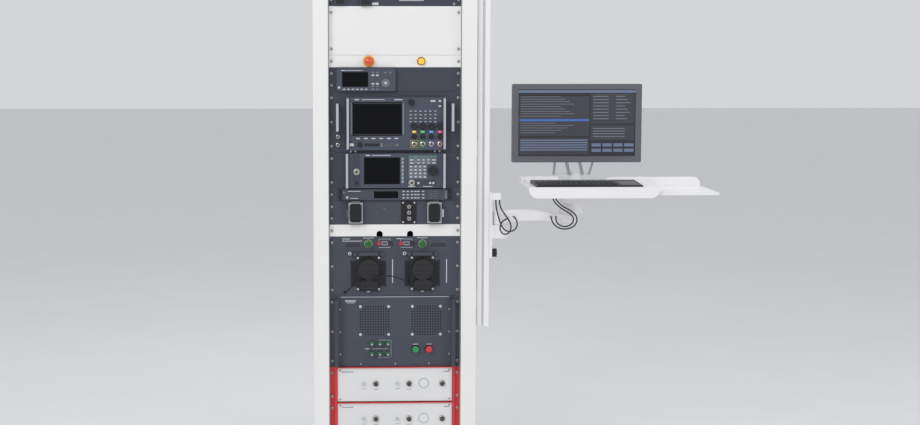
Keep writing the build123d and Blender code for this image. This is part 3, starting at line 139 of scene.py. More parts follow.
# %% Finishes
MATERIALS = {}
HANDLE_BANDS = (BOTTOM["charge"], BOTTOM["source"] + UNIT)


def linear(red, green, blue):
    """A display colour from 0 to 255 as scene-linear values."""
    values = []
    for value in (red, green, blue):
        part = value / 255
        values.append(part / 12.92 if part <= 0.04045 else ((part + 0.055) / 1.055) ** 2.4)
    return (*values, 1.0)


def finish(name, colour, roughness=0.5, metallic=0.0, grain=400.0, depth=0.1, drift=0.04, coat=0.0,
           stretch=(1, 1, 1)):
    """A painted, moulded or metal finish with slow colour drift and a fine grain."""
    material = bpy.data.materials.new(name)
    material.use_nodes = True
    nodes, links = material.node_tree.nodes, material.node_tree.links
    shader = nodes["Principled BSDF"]
    shader.inputs["Metallic"].default_value = metallic
    shader.inputs["Coat Weight"].default_value = coat
    where = nodes.new("ShaderNodeTexCoord")
    turn = nodes.new("ShaderNodeMapping")
    turn.inputs["Scale"].default_value = stretch
    links.new(where.outputs["Object"], turn.inputs["Vector"])
    slow = nodes.new("ShaderNodeTexNoise")
    slow.inputs["Scale"].default_value = 3.0
    slow.inputs["Detail"].default_value = 4.0
    links.new(turn.outputs["Vector"], slow.inputs["Vector"])
    ramp = nodes.new("ShaderNodeValToRGB")
    base = linear(*colour)
    ramp.color_ramp.elements[0].position = 0.3
    ramp.color_ramp.elements[1].position = 0.7
    ramp.color_ramp.elements[0].color = tuple(v * (1 - drift) for v in base[:3]) + (1,)
    ramp.color_ramp.elements[1].color = tuple(min(1, v * (1 + drift)) for v in base[:3]) + (1,)
    links.new(slow.outputs["Fac"], ramp.inputs["Fac"])
    links.new(ramp.outputs["Color"], shader.inputs["Base Color"])
    fine = nodes.new("ShaderNodeTexNoise")
    fine.inputs["Scale"].default_value = grain
    fine.inputs["Detail"].default_value = 3.0
    links.new(turn.outputs["Vector"], fine.inputs["Vector"])
    spread = nodes.new("ShaderNodeMapRange")
    spread.inputs["To Min"].default_value = max(0.03, roughness - 0.06)
    spread.inputs["To Max"].default_value = min(1.0, roughness + 0.06)
    links.new(fine.outputs["Fac"], spread.inputs["Value"])
    links.new(spread.outputs["Result"], shader.inputs["Roughness"])
    bump = nodes.new("ShaderNodeBump")
    bump.inputs["Strength"].default_value = depth
    bump.inputs["Distance"].default_value = 0.0004
    links.new(fine.outputs["Fac"], bump.inputs["Height"])
    links.new(bump.outputs["Normal"], shader.inputs["Normal"])
    MATERIALS[name] = material
    return material


def glowing(name, colour, strength, roughness=0.3):
    """A lit surface: an indicator, or part of the picture on a screen."""
    material = finish(name, colour, roughness, drift=0.02, depth=0.02)
    shader = material.node_tree.nodes["Principled BSDF"]
    shader.inputs["Emission Color"].default_value = linear(*colour)
    shader.inputs["Emission Strength"].default_value = strength
    return material


WHITE_COAT = finish("white powder coat", (236, 235, 233), 0.42, grain=900, depth=0.12, drift=0.012)
STRIP_COAT = finish("white panel coat", (235, 234, 233), 0.45, grain=900, depth=0.1, drift=0.012)
ARM_COAT = finish("white arm coat", (238, 237, 238), 0.34, grain=700, depth=0.06, drift=0.012, coat=0.15)
SLATE = finish("slate textured coat", (65, 69, 81), 0.52, grain=1100, depth=0.25, drift=0.06)
FILLER = finish("dark filler coat", (56, 60, 72), 0.5, grain=1000, depth=0.22, drift=0.05)
BEZEL = finish("moulded bezel plastic", (67, 73, 88), 0.46, grain=1400, depth=0.15, drift=0.05)
BLACK = finish("black plastic", (24, 24, 27), 0.4, grain=1200, depth=0.15, drift=0.08)
INSERT = finish("glossy black insert", (16, 16, 18), 0.2, coat=0.3, depth=0.02)
# painted shade: near-black discs and squares stand in for the dark inside of holes and louvres
HOLE_SHADE = finish("painted shade of a hole", (7, 7, 9), 0.8, depth=0.0)
# painted highlight: grey ridges, lighter than the black rubber cap, stand in for light on its raised bands
CAP_RIDGE_HIGHLIGHT = finish("painted highlight on cap ridges", (56, 56, 58), 0.5, grain=800, depth=0.1)
# real black for cables and rubber parts, and painted shade where it fills screw recesses, socket mouths,
# vents and air slots
RUBBER_BLACK_AND_OPENING_SHADE = finish("black rubber and painted shade of openings", (24, 24, 26), 0.62, grain=800, depth=0.2, drift=0.1)
STEEL = finish("zinc plated steel", (168, 168, 166), 0.35, 0.9, grain=120, depth=0.05, drift=0.1)
ALLOY = finish("satin alloy", (196, 197, 200), 0.3, 0.85, grain=600, depth=0.05, stretch=(1, 1, 0.05))
HANDLE = finish("light handle alloy", (178, 182, 188), 0.36, 0.55, grain=900, depth=0.05)
NICKEL = finish("nickel", (205, 203, 196), 0.22, 1.0, grain=300, depth=0.02, drift=0.05)
GOLD = finish("gilt contact", (201, 160, 78), 0.28, 1.0, grain=300, depth=0.02)
MODULE = finish("light anodised sheet", (226, 226, 226), 0.4, 0.1, grain=900, depth=0.06, drift=0.02)
RED_COAT = finish("red powder coat", (208, 52, 56), 0.42, grain=900, depth=0.12, drift=0.03)
STOP_RED = finish("glossy stop red", (222, 84, 44), 0.22, coat=0.5, depth=0.02)
AMBER = glowing("amber lens", (247, 190, 62), 0.25)
YELLOW = finish("yellow ring", (238, 181, 44), 0.35, depth=0.04)
OLIVE = finish("dark gilt ring", (142, 108, 36), 0.3, 0.6, depth=0.04)
GREEN_LENS = finish("green lens", (4, 96, 30), 0.14, coat=0.25, depth=0.0)
GREEN = finish("green plastic", (26, 140, 72), 0.3, coat=0.3, depth=0.03)
RED = finish("red plastic", (205, 42, 52), 0.3, coat=0.3, depth=0.03)
LIGHT = finish("light printed mark", (205, 208, 212), 0.6, depth=0.02, drift=0.02)
DIM = finish("dim printed mark", (128, 134, 146), 0.6, depth=0.02, drift=0.02)
KEY_GREY = finish("grey key rubber", (112, 117, 128), 0.6, grain=900, depth=0.12)
KEY_LIGHT = finish("light key rubber", (188, 192, 198), 0.6, grain=900, depth=0.12)
GLASS = finish("dark display glass", (8, 9, 12), 0.25, depth=0.0, drift=0.1)
GLASS.node_tree.nodes["Principled BSDF"].inputs["Specular IOR Level"].default_value = 0.15
SCREEN = glowing("lit screen ground", (38, 37, 44), 0.35, 0.25)
BOARD = finish("green circuit board", (24, 92, 58), 0.45, grain=300, depth=0.2)
# painted shade: the left lever is a darker copy of the right lever's light alloy
LEVER_ALLOY_IN_SHADE = finish("lever alloy in painted shade", (92, 95, 102), 0.36, 0.4, grain=900, depth=0.05)


def banded(name, axis, bands, scale, roughness):
    """A finish whose colour changes at set places along one object axis, given as (place, colour)."""
    material = finish(name, bands[0][1], roughness, grain=900, depth=0.1)
    nodes, links = material.node_tree.nodes, material.node_tree.links
    parts = nodes.new("ShaderNodeSeparateXYZ")
    links.new(nodes["Texture Coordinate"].outputs["Object"], parts.inputs["Vector"])
    shifted = nodes.new("ShaderNodeMapRange")
    shifted.inputs["From Min"].default_value = -scale
    shifted.inputs["From Max"].default_value = scale
    links.new(parts.outputs[axis], shifted.inputs["Value"])
    ramp = nodes.new("ShaderNodeValToRGB")
    ramp.color_ramp.interpolation = "CONSTANT"
    while len(ramp.color_ramp.elements) < len(bands):
        ramp.color_ramp.elements.new(0.5)
    for element, (place, colour) in zip(ramp.color_ramp.elements, bands):
        element.position = (place / scale + 1) / 2
        element.color = linear(*colour)
    links.new(shifted.outputs["Result"], ramp.inputs["Fac"])
    links.new(ramp.outputs["Color"], nodes["Principled BSDF"].inputs["Base Color"])
    return material


BANDED = banded("handle finish by height", "Z", ((-2, (58, 62, 74)), (HANDLE_BANDS[0], (30, 30, 34)),
                                                 (HANDLE_BANDS[1], (178, 182, 188))), 2.0, 0.36)
CAPPED = banded("rubber cap on painted plate", "Y", ((-1, (24, 24, 26)), (PANEL_Y - 0.0041, (58, 62, 74))),
                1.0, 0.5)
MONITOR_GREY = finish("charcoal monitor plastic", (98, 98, 105), 0.42, grain=1300, depth=0.12, drift=0.03)
print(len(MATERIALS), "finishes")

# %% [markdown]
# The frame's own parts already have the right shape, so each only takes a finish. Boards and rails that
# sit inside get one too, because the rear door opens.

# %% Finishes of the frame's parts
NODE_FINISH = {
    WHITE_COAT: ("cabinet_frame", "base_plinth", "cabinet_covers", "rear_door"),
    STRIP_COAT: ("blank_panels", "cable_strip"),
    ARM_COAT: ("mast", "arm_carriage", "swing_arm", "arm_head", "keyboard_tray", "mouse_tray"),
    SLATE: ("connector_panel", "source_unit", "charge_panel", "load_panel"),
    FILLER: ("adapter_panels", "power_unit"),
    BEZEL: ("logger_unit", "scope_front", "analyzer_front"),
    BLACK: ("door_handle", "base_plate", "clamp_knob", "fan_frames", "fan_rotor_left",
            "fan_rotor_right", "stop_plunger", "scope_knob", "analyzer_knob",
            "channel_knob_1", "channel_knob_2", "channel_knob_3", "channel_knob_4", "keyboard",
            "analyzer_power_button"),
    STEEL: ("rack_rails", "panel_screws"),
    ALLOY: ("scope_case", "analyzer_case", "monitor_links", "monitor_rods", "monitor_bracket"),
    HANDLE: ("lever_right",),
    # painted shade: the left lever takes a darkened copy of the lever alloy
    LEVER_ALLOY_IN_SHADE: ("lever_left",),
    BANDED: ("front_handles",),
    CAPPED: ("charge_inlets",),
    MODULE: ("signal_modules",),
    RED_COAT: ("module_frames",),
    STOP_RED: ("stop_mushroom",),
    AMBER: ("reset_button",),
    GREEN: ("start_button",),
    RED: ("halt_button",),
    LIGHT: ("scope_power_button",),
    BOARD: ("analyzer_boards",),
    KEY_GREY: ("analyzer_keypad",),
    MONITOR_GREY: ("monitor_housing",),
}
for material, names in NODE_FINISH.items():
    for name in names:
        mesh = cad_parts[name].data
        mesh.materials.clear()
        mesh.materials.append(material)
print(sum(len(names) for names in NODE_FINISH.values()), "frame parts finished")

# %% [markdown]
# Small helpers build the pieces. `piece` turns a bmesh into an object that rides on a body, `bars` makes
# bevelled plates on a front, and `lathe` makes a round shape from its profile, as a lathe would.


def piece(name, mesh, material, body, smooth=False):
    """An object from a finished mesh, riding on a body."""
    if isinstance(mesh, bmesh.types.BMesh):
        bm, mesh = mesh, bpy.data.meshes.new(name)
        bmesh.ops.recalc_face_normals(bm, faces=bm.faces)
        bm.to_mesh(mesh)
        bm.free()
    thing = bpy.data.objects.new(name, mesh)
    bpy.context.scene.collection.objects.link(thing)
    mesh.materials.clear()
    mesh.materials.append(material)
    if smooth:
        mesh.polygons.foreach_set("use_smooth", [True] * len(mesh.polygons))
        mesh.set_sharp_from_angle(angle=math.radians(35))
    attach(thing, body)
    return thing


def add_box(bm, low, high, bevel=0.0):
    """Adds a box with slightly rounded edges."""
    made = bmesh.ops.create_cube(bm, size=1)
    size = Vector(high) - Vector(low)
    middle = (Vector(high) + Vector(low)) / 2
    shape = Matrix.Translation(middle) @ Matrix.Diagonal((*size, 1))
    bmesh.ops.transform(bm, matrix=shape, verts=made["verts"])
    if bevel:
        edges = list({edge for vert in made["verts"] for edge in vert.link_edges})
        bmesh.ops.bevel(bm, geom=edges, offset=bevel, segments=2, affect="EDGES", profile=0.6)


def bars(name, unit, rows, material, thickness=0.5, bevel=0.0, sunk=0.05, body=CABINET):
    """Plates on an instrument's front, each given by its middle, width and height in millimetres."""
    bm = bmesh.new()
    for x, height, width, tall in rows:
        centre = spot(unit, x, height)
        half = Vector((width / 2 * MM, 0, tall / 2 * MM))
        low = centre - half - Vector((0, thickness * MM, 0))
        high = centre + half + Vector((0, sunk * MM, 0))
        add_box(bm, low, high, bevel * MM)
    return piece(name, bm, material, body)


def lathe(profile, steps=28):
    """A closed round shape about the Y axis from (radius, distance out) pairs in millimetres.

    A profile runs from the axis back to the axis, or ends on its first radius and so makes a ring.
    """
    bm = bmesh.new()
    rings = []
    for radius, out in profile:
        if radius == 0:
            rings.append([bm.verts.new((0, -out * MM, 0))] * steps)
            continue
        ring = []
        for step in range(steps):
            angle = 2 * math.pi * step / steps
            ring.append(bm.verts.new((radius * MM * math.cos(angle), -out * MM,
                                      radius * MM * math.sin(angle))))
        rings.append(ring)
    hollow = profile[0][0] > 0 and profile[0][0] == profile[-1][0]
    for first, second in zip(rings, rings[1:] + (rings[:1] if hollow else [])):
        for step in range(steps):
            after = (step + 1) % steps
            corners = []
            for vert in (first[step], first[after], second[after], second[step]):
                if vert not in corners:
                    corners.append(vert)
            bm.faces.new(corners)
    mesh = bpy.data.meshes.new("turned shape")
    bmesh.ops.recalc_face_normals(bm, faces=bm.faces)
    bm.to_mesh(mesh)
    bm.free()
    return mesh


def cap(width, tall, proud, taper=0.78, bevel=0.25):
    """A key cap with sloped sides, centred on the origin, in millimetres."""
    bm = bmesh.new()
    add_box(bm, (-width / 2 * MM, -proud * MM, -tall / 2 * MM), (width / 2 * MM, 0, tall / 2 * MM))
    for vert in bm.verts:
        if vert.co.y < -proud * MM / 2:
            vert.co.x *= 1 - (1 - taper) * min(1, tall / width)
            vert.co.z *= taper
    bmesh.ops.bevel(bm, geom=bm.edges[:], offset=bevel * MM, segments=1, affect="EDGES")
    mesh = bpy.data.meshes.new("key cap")
    bmesh.ops.recalc_face_normals(bm, faces=bm.faces)
    bm.to_mesh(mesh)
    bm.free()
    return mesh


print("helpers ready")

# %% [markdown]
# Thin cables hang in loops past the arm's two turning joints, and two sense leads cross the charging
# panel. Each is a smooth spline through listed points, swept with a round section. The arm's cables
# stay fixed in place and ride on no body.

# %% Cables
MAST_Y, ELBOW_X = -0.412, 0.6565
CLIP_Z, TRAY_TOP, GLAND_Y = 1.111, 1.170, -0.440
LEAD_Y, INLET_Z = PANEL_Y - 0.026, BOTTOM["charge"] + 0.1016


def near(origin, steps):
    """Route points in metres from an origin and steps in millimetres."""
    return [tuple(round(o + step * MM, 6) for o, step in zip(origin, point)) for point in steps]


LEADS = (
    near((0, LEAD_Y, INLET_Z), (
        (-85, -6, -38), (-85, -20, -38), (-76, -30, -32), (-60, -33, -25), (-42, -31, -20), (-23, -27, -19),
        (-4, -22, -23), (14, -18, -30), (31, -13, -38), (45, -3, -44), (50, 6, -46), (50, 20, -46))),
    near((0, LEAD_Y, INLET_Z), (
        (-111, -6, -38), (-111, -20, -38), (-120, -29, -40), (-135, -31, -45), (-150, -28, -53),
        (-163, -22, -63),
        (-174, -14, -74), (-182, -4, -83), (-186, 7, -88), (-186, 20, -88))),
)
LOWER = (
    near((0, MAST_Y, CLIP_Z), (
        (372, -34, 0), (372, -34, -18), (375, -38, -38), (379.5, -43, -59), (386, -48, -82),
        (395, -52, -103),
        (411, -56, -116), (431, -60, -115), (446, -63, -102), (449, -64, -83), (443, -57, -69),
        (438.5, -43, -63),
        (438.5, -28, -63))),
    near((0, MAST_Y, CLIP_Z), (
        (386, -30, 0), (386, -30, -18), (393, -36, -37), (404, -46, -54), (416, -57, -70), (425, -67, -89),
        (424, -73, -109), (411, -76, -124), (393, -76, -123), (383, -74, -107), (385, -69, -89),
        (395, -61, -76),
        (408, -52, -71), (413.5, -39, -71), (413.5, -28, -71))),
)
UPPER = (
    near((ELBOW_X, MAST_Y, TRAY_TOP), (
        (-43, -30, -16), (-58, -30, -16), (-72, -34, -26), (-78, -41, -44), (-72, -48, -65), (-56, -54, -82),
        (-36, -58, -96), (-15, -59, -108), (1, -58, -123), (-1, -56, -143), (-17, -55, -156),
        (-37, -57, -158),
        (-55, -59, -150), (-65, -55, -135), (-62, -45, -123), (-62, -28, -123))),
    near((ELBOW_X, MAST_Y, TRAY_TOP), (
        (-43, -44, -16), (-60, -44, -16), (-71, -49, -29), (-70, -58, -50), (-57, -65, -69), (-38, -69, -84),
        (-16, -70, -95), (4, -70, -109), (13, -69, -130), (6, -67, -151), (-13, -65, -163), (-36, -63, -167),
        (-58, -61, -161), (-74, -58, -147), (-80, -51, -132), (-80, -41, -123), (-80, -28, -123))),
)


def spline_object(route, radius):
    """A smooth curve that takes the route's points as its control points, with a round section."""
    curve = bpy.data.curves.new("route", "CURVE")
    curve.dimensions = "3D"
    curve.resolution_u = 6
    curve.bevel_depth = radius
    curve.bevel_resolution = 3
    curve.use_fill_caps = True
    line = curve.splines.new("NURBS")
    line.points.add(len(route) - 1)
    for point, place in zip(line.points, route):
        point.co = (*place, 1)
    line.order_u = 3
    line.use_endpoint_u = True
    thing = bpy.data.objects.new("route", curve)
    bpy.context.scene.collection.objects.link(thing)
    return thing


def plain_mesh(thing):
    """The evaluated shape of a curve object, as a mesh."""
    bpy.context.view_layer.update()
    return bpy.data.meshes.new_from_object(thing.evaluated_get(bpy.context.evaluated_depsgraph_get()))


def cable(name, route, radius, body, second=None):
    """A cable along a route, riding on a body, or fixed in place on no body when a second one is given."""
    holder = spline_object(route, radius)
    tube = plain_mesh(holder)
    holder.data.bevel_depth = 0
    path = [vert.co.copy() for vert in plain_mesh(holder).vertices]
    bpy.data.objects.remove(holder)
    thing = bpy.data.objects.new(name, tube)
    bpy.context.scene.collection.objects.link(thing)
    tube.materials.clear()
    tube.materials.append(RUBBER_BLACK_AND_OPENING_SHADE)
    tube.polygons.foreach_set("use_smooth", [True] * len(tube.polygons))
    if second:
        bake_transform(thing)
    else:
        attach(thing, body)
    return thing


sense = [cable(f"sense_lead_{number}", route, 0.0022, CABINET)
         for number, route in enumerate(LEADS, 1)]
lower = [cable(f"lower_cable_{number}", route, 0.0025, "arm_carriage", "swing_arm")
         for number, route in enumerate(LOWER, 1)]
upper = [cable(f"upper_cable_{number}", route, 0.0025, "swing_arm", "arm_head")
         for number, route in enumerate(UPPER, 1)]
for cables, node in ((sense, "charge_lead"), (lower, "arm_cables_lower"), (upper, "arm_cables_upper")):
    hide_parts(node)

# %% [markdown]
# Keys, screws, lamps and sockets repeat, so Geometry Nodes place them: one tree puts a shape on every
# point of a mesh, another on a regular grid with its own number and pitch. Both end by realising the
# copies and setting the finish. The result is taken as a plain mesh and the modifier is thrown away.

# %% Geometry Nodes that place copies


def new_tree(name, sockets):
    """A node group with a geometry output and the named inputs."""
    tree = bpy.data.node_groups.new(name, "GeometryNodeTree")
    tree.interface.new_socket("Geometry", in_out="INPUT", socket_type="NodeSocketGeometry")
    for label, kind in sockets:
        tree.interface.new_socket(label, in_out="INPUT", socket_type=kind)
    tree.interface.new_socket("Geometry", in_out="OUTPUT", socket_type="NodeSocketGeometry")
    return tree


def finish_tree(tree, points, entry):
    """Places the shape on the points, realises the copies and sets the finish."""
    nodes, links = tree.nodes, tree.links
    shape = nodes.new("GeometryNodeObjectInfo")
    place = nodes.new("GeometryNodeInstanceOnPoints")
    real = nodes.new("GeometryNodeRealizeInstances")
    paint = nodes.new("GeometryNodeSetMaterial")
    leave = nodes.new("NodeGroupOutput")
    links.new(points, place.inputs["Points"])
    links.new(entry.outputs["Shape"], shape.inputs["Object"])
    links.new(shape.outputs["Geometry"], place.inputs["Instance"])
    links.new(entry.outputs["Size"], place.inputs["Scale"])
    links.new(place.outputs["Instances"], real.inputs["Geometry"])
    links.new(real.outputs["Geometry"], paint.inputs["Geometry"])
    links.new(entry.outputs["Finish"], paint.inputs["Material"])
    links.new(paint.outputs["Geometry"], leave.inputs["Geometry"])


SHAPE_SOCKETS = [("Shape", "NodeSocketObject"), ("Size", "NodeSocketFloat"),
                 ("Finish", "NodeSocketMaterial")]
ON_POINTS = new_tree("copies on points", SHAPE_SOCKETS)
entry = ON_POINTS.nodes.new("NodeGroupInput")
as_points = ON_POINTS.nodes.new("GeometryNodeMeshToPoints")
ON_POINTS.links.new(entry.outputs["Geometry"], as_points.inputs["Mesh"])
finish_tree(ON_POINTS, as_points.outputs["Points"], entry)

ON_GRID = new_tree("copies on a grid", SHAPE_SOCKETS + [
    ("Columns", "NodeSocketInt"), ("Rows", "NodeSocketInt"),
    ("Width", "NodeSocketFloat"), ("Height", "NodeSocketFloat"), ("Centre", "NodeSocketVector")])
entry = ON_GRID.nodes.new("NodeGroupInput")
grid = ON_GRID.nodes.new("GeometryNodeMeshGrid")
stand = ON_GRID.nodes.new("GeometryNodeTransform")
stand.inputs["Rotation"].default_value = (math.pi / 2, 0, 0)
for label, socket in (("Columns", "Vertices X"), ("Rows", "Vertices Y"), ("Width", "Size X"),
                      ("Height", "Size Y")):
    ON_GRID.links.new(entry.outputs[label], grid.inputs[socket])
ON_GRID.links.new(grid.outputs["Mesh"], stand.inputs["Geometry"])
ON_GRID.links.new(entry.outputs["Centre"], stand.inputs["Translation"])
as_points = ON_GRID.nodes.new("GeometryNodeMeshToPoints")
ON_GRID.links.new(stand.outputs["Geometry"], as_points.inputs["Mesh"])
finish_tree(ON_GRID, as_points.outputs["Points"], entry)


def run_tree(name, tree, base, values, material, body):
    """Runs a tree on a base mesh and keeps its result as a plain riding piece."""
    holder = bpy.data.objects.new("holder", base)
    bpy.context.scene.collection.objects.link(holder)
    modifier = holder.modifiers.new("copies", "NODES")
    modifier.node_group = tree
    for item in tree.interface.items_tree:
        if item.in_out == "INPUT" and item.name in values:
            modifier[item.identifier] = values[item.name]
    bpy.context.view_layer.update()
    result = holder.evaluated_get(bpy.context.evaluated_depsgraph_get())
    mesh = bpy.data.meshes.new_from_object(result)
    holder.modifiers.remove(modifier)
    bpy.data.objects.remove(holder)
    bpy.data.objects.remove(values["Shape"])
    return piece(name, mesh, material, body, smooth=True)


def shape_object(mesh):
    """A loose object that only lends its shape to the copies."""
    thing = bpy.data.objects.new("shape", mesh)
    bpy.context.scene.collection.objects.link(thing)
    return thing


def copies(name, mesh, points, material, body=CABINET, size=1.0):
    """Copies of a shape on a list of points."""
    base = bpy.data.meshes.new("points")
    base.from_pydata([tuple(point) for point in points], [], [])
    values = {"Shape": shape_object(mesh), "Size": size, "Finish": material}
    return run_tree(name, ON_POINTS, base, values, material, body)


def grid_copies(name, mesh, centre, columns, rows, pitch, material, body=CABINET):
    """Copies of a shape on a regular grid about a centre, with one pitch each way in millimetres."""
    values = {"Shape": shape_object(mesh), "Size": 1.0, "Finish": material, "Columns": columns, "Rows": rows,
              "Width": (columns - 1) * pitch[0] * MM, "Height": (rows - 1) * pitch[1] * MM, "Centre": centre}
    return run_tree(name, ON_GRID, bpy.data.meshes.new("empty"), values, material, body)


def row_of(unit, height, places, proud=0.0):
    """Points along one height of an instrument's front."""
    return [spot(unit, x, height, proud) for x in places]


print("copying trees ready")

# %% [markdown]
# Cabinet screws are pan heads with a cross recess. The frame has plain heads, and this gives each one a
# domed cap with a dark cross of painted shade for the recess, on the same grid of ear holes.

# %% Panel screws
EAR_X = 232.5


def screw_heights(unit):
    """Heights of an instrument's ear screws above its lowest edge, in millimetres."""
    tall = UNITS[unit] * UNIT / MM
    if UNITS[unit] == 1:
        return [tall / 2]
    count = 2 if UNITS[unit] < 5 else 3
    inset = UNIT / MM / 2
    low, high = 0.4 + inset, tall - 0.4 - inset
    return [low + (high - low) * step / (count - 1) for step in range(count)]


ear_screws = []
for unit in UNITS:
    for height in screw_heights(unit):
        for side in (-1, 1):
            place = spot(unit, side * EAR_X, height)
            place.y = PANEL_Y - 3.3 * MM
            ear_screws.append(place)
DOME_HEAD = [(0, -0.2), (4.6, -0.2), (4.6, 0.3), (3.6, 1.0), (2.0, 1.4), (0, 1.5)]
copies("screw_domes", lathe(DOME_HEAD, 16), ear_screws, STEEL)
cross = bmesh.new()
add_box(cross, (-2.2 * MM, -1.7 * MM, -0.4 * MM), (2.2 * MM, -1.0 * MM, 0.4 * MM))
add_box(cross, (-0.4 * MM, -1.7 * MM, -2.2 * MM), (0.4 * MM, -1.0 * MM, 2.2 * MM))
cross_mesh = bpy.data.meshes.new("cross recess")
cross.to_mesh(cross_mesh)
cross.free()
# painted shade: the black cross stands for the recess, which is not cut
copies("screw_crosses", cross_mesh, ear_screws, RUBBER_BLACK_AND_OPENING_SHADE)
print(len(ear_screws), "ear screws")

# %% [markdown]
# The strip under the blank panel carries an emergency stop on a yellow ring and a lit reset button in a
# dark gilt ring. The rings are turned shapes round the moving buttons of the frame.

# %% Control strip
BUTTON_X = 96.0
MIDDLE_1U = UNIT / MM / 2


def ring_mesh(inner, outer, tall):
    """A turned ring with a rounded outer edge, in millimetres."""
    return lathe([(inner, 0), (outer, 0), (outer, tall * 0.6), (outer - 1, tall), (inner, tall),
                  (inner, 0.01)], 40)


copies("stop_ring", ring_mesh(9.5, 21.0, 2.4), [spot("control", -BUTTON_X, MIDDLE_1U)], YELLOW)
copies("reset_ring", ring_mesh(9.2, 15.5, 1.6), [spot("control", BUTTON_X, MIDDLE_1U)], OLIVE)
print("control strip ringed")

# %% [markdown]
# The data logger has a small screen that is off, soft keys under it, two columns of keys and a round
# navigation pad. The keys are tapered caps placed by the grid tree.

# %% Data logger
bars("logger_screen", "logger", [(-146, 45, 94, 53)], GLASS, thickness=-0.4, sunk=1.4)
bars("logger_title", "logger", [(-190, 77.5, 14, 2.6), (-150, 77.5, 60, 1.6)], LIGHT, 0.2)
grid_copies("logger_keys", cap(11, 6.5, 2.5), spot("logger", -73, 44.5), 2, 2, (16, 31), KEY_LIGHT)
grid_copies("logger_dark_keys", cap(11, 6, 2.2), spot("logger", -73, 20), 2, 3, (16, 11), KEY_GREY)
copies("logger_top_keys", cap(11, 6, 2.2), row_of("logger", 70, (-81, -65, -35, -17)), KEY_GREY)
grid_copies("logger_soft_keys", cap(10, 4.5, 2), spot("logger", -146, 9), 6, 1, (16, 1), KEY_LIGHT)
NAV_PAD = [(7, 0), (15, 0), (15, 1.4), (13.5, 2.6), (8.5, 2.2), (7, 1.2), (7, 0.01)]
copies("logger_pad", lathe(NAV_PAD, 36), [spot("logger", -34.6, 32)], KEY_GREY)
copies("logger_pad_centre", lathe([(0, 0), (5.5, 0), (5.5, 2.2), (4.5, 2.8), (0, 3)], 24),
       [spot("logger", -34.6, 32)], KEY_LIGHT)
copies("logger_power_key", lathe([(0, 0), (4.8, 0), (4.8, 1.4), (4, 2), (0, 2.2)], 24),
       [spot("logger", -204.6, 15.5)], KEY_LIGHT)
print("data logger fronted")

# %% [markdown]
# The oscilloscope front is the busiest: a wide screen with a grey bezel on both sides, soft keys under it,
# rows of small keys, four columns of knobs and lit channel keys, and four coaxial inputs on coloured
# plates. Each colour repeats down its column, as on a real instrument.

# %% Oscilloscope
CHANNEL_X = (70.0, 101.5, 133.0, 164.5)
CHANNEL_COLOURS = {"yellow": (222, 196, 72), "green": (84, 190, 98), "blue": (92, 140, 214),
                   "pink": (222, 92, 130)}
bars("scope_glass", "scope", [(-65.3, 123, 179, 122)], GLASS, thickness=-0.6, sunk=1.9)
bars("scope_picture_bars", "scope", [(-65.3, 180, 172, 4), (-65.3, 66, 172, 4)], SCREEN,
     -0.5, sunk=0.9)
bars("scope_side_strips", "scope", [(-160.5, 124, 3.2, 116), (30, 124, 3.2, 116)], DIM,
     0.6, 0.2)
bars("scope_title", "scope", [(-140, 193.5, 16, 3.4), (-80, 193.5, 84, 2), (12, 193.5, 30, 3)],
     LIGHT, 0.2)
grid_copies("scope_soft_keys", cap(15, 5, 2.4), spot("scope", -65.3, 51.7), 6, 1, (28, 1),
            KEY_LIGHT)
bars("scope_slot", "scope", [(-84.5, 28, 57, 11)], RUBBER_BLACK_AND_OPENING_SHADE, 0.6, 0.2)
bars("scope_sockets", "scope", [(-49.7, 28, 9, 13), (-30, 28, 14, 7), (-10, 28, 14, 7), (8, 28, 8, 8)],
     KEY_GREY, 0.8, 0.2)
# painted shade: black bars stand in for the dark inside of the sockets' mouths
bars("scope_socket_mouths", "scope", [(-30, 28, 10.5, 4), (-10, 28, 10.5, 4)], RUBBER_BLACK_AND_OPENING_SHADE,
     1.0)
SMALL_KNOB = [(0, 0), (8.5, 0), (9, 1), (8, 9), (7, 10.5), (0, 10.8)]
copies("scope_small_knobs", lathe(SMALL_KNOB, 28),
       row_of("scope", 58.4, CHANNEL_X) + [spot("scope", -129, 29)], BLACK)
grid_copies("scope_keys", cap(11, 6, 2.4), spot("scope", 102, 132), 6, 4, (18, 13), KEY_GREY)
grid_copies("scope_key_marks", cap(7, 1.6, 0.3, 1, 0.05), spot("scope", 102, 132, 2.45), 6, 4, (18, 13),
            LIGHT)
bars("scope_labels", "scope", [(138.7, 188.5, 18, 7), (164, 188.5, 10, 7), (164, 170, 9, 7)],
     KEY_LIGHT, 1.6, 0.3)
INPUT_RING = [(4.4, 0), (9.4, 0), (9.4, 2), (7.6, 3), (7.6, 11), (6.9, 12), (4.4, 12), (4.4, 0.01)]
for x, (word, colour) in zip(CHANNEL_X, CHANNEL_COLOURS.items()):
    lit = glowing(f"lit {word} key", colour, 0.45)
    plate = finish(f"{word} input plate", tuple(int(v * 0.72) for v in colour), 0.4, depth=0.06)
    copies(f"scope_{word}_key", cap(14, 8.5, 2.6), [spot("scope", x, 76)], lit)
    bars(f"scope_{word}_plate", "scope", [(x, 31, 29, 29)], plate, 0.8, 0.4)
    bars(f"scope_{word}_plate_inner", "scope", [(x, 31, 24, 24)], BEZEL, 1.0, 0.2)
input_places = row_of("scope", 31, CHANNEL_X, 1.0)
copies("scope_inputs", lathe(INPUT_RING, 28), input_places, NICKEL)
copies("scope_input_pins", lathe([(0, 0), (1.4, 0), (1.4, 8), (0, 9)], 12), input_places, GOLD)
LOW_DOT = lathe([(0, 0), (5, 0), (5, 2.2), (4, 3), (0, 3.2)], 20)
ledge = [spot("scope", x, 4.2) for x in (-162, -145, 147, 164)]
for place in ledge:
    place.y = PANEL_Y
copies("scope_ledge_screws", LOW_DOT, ledge, KEY_LIGHT)
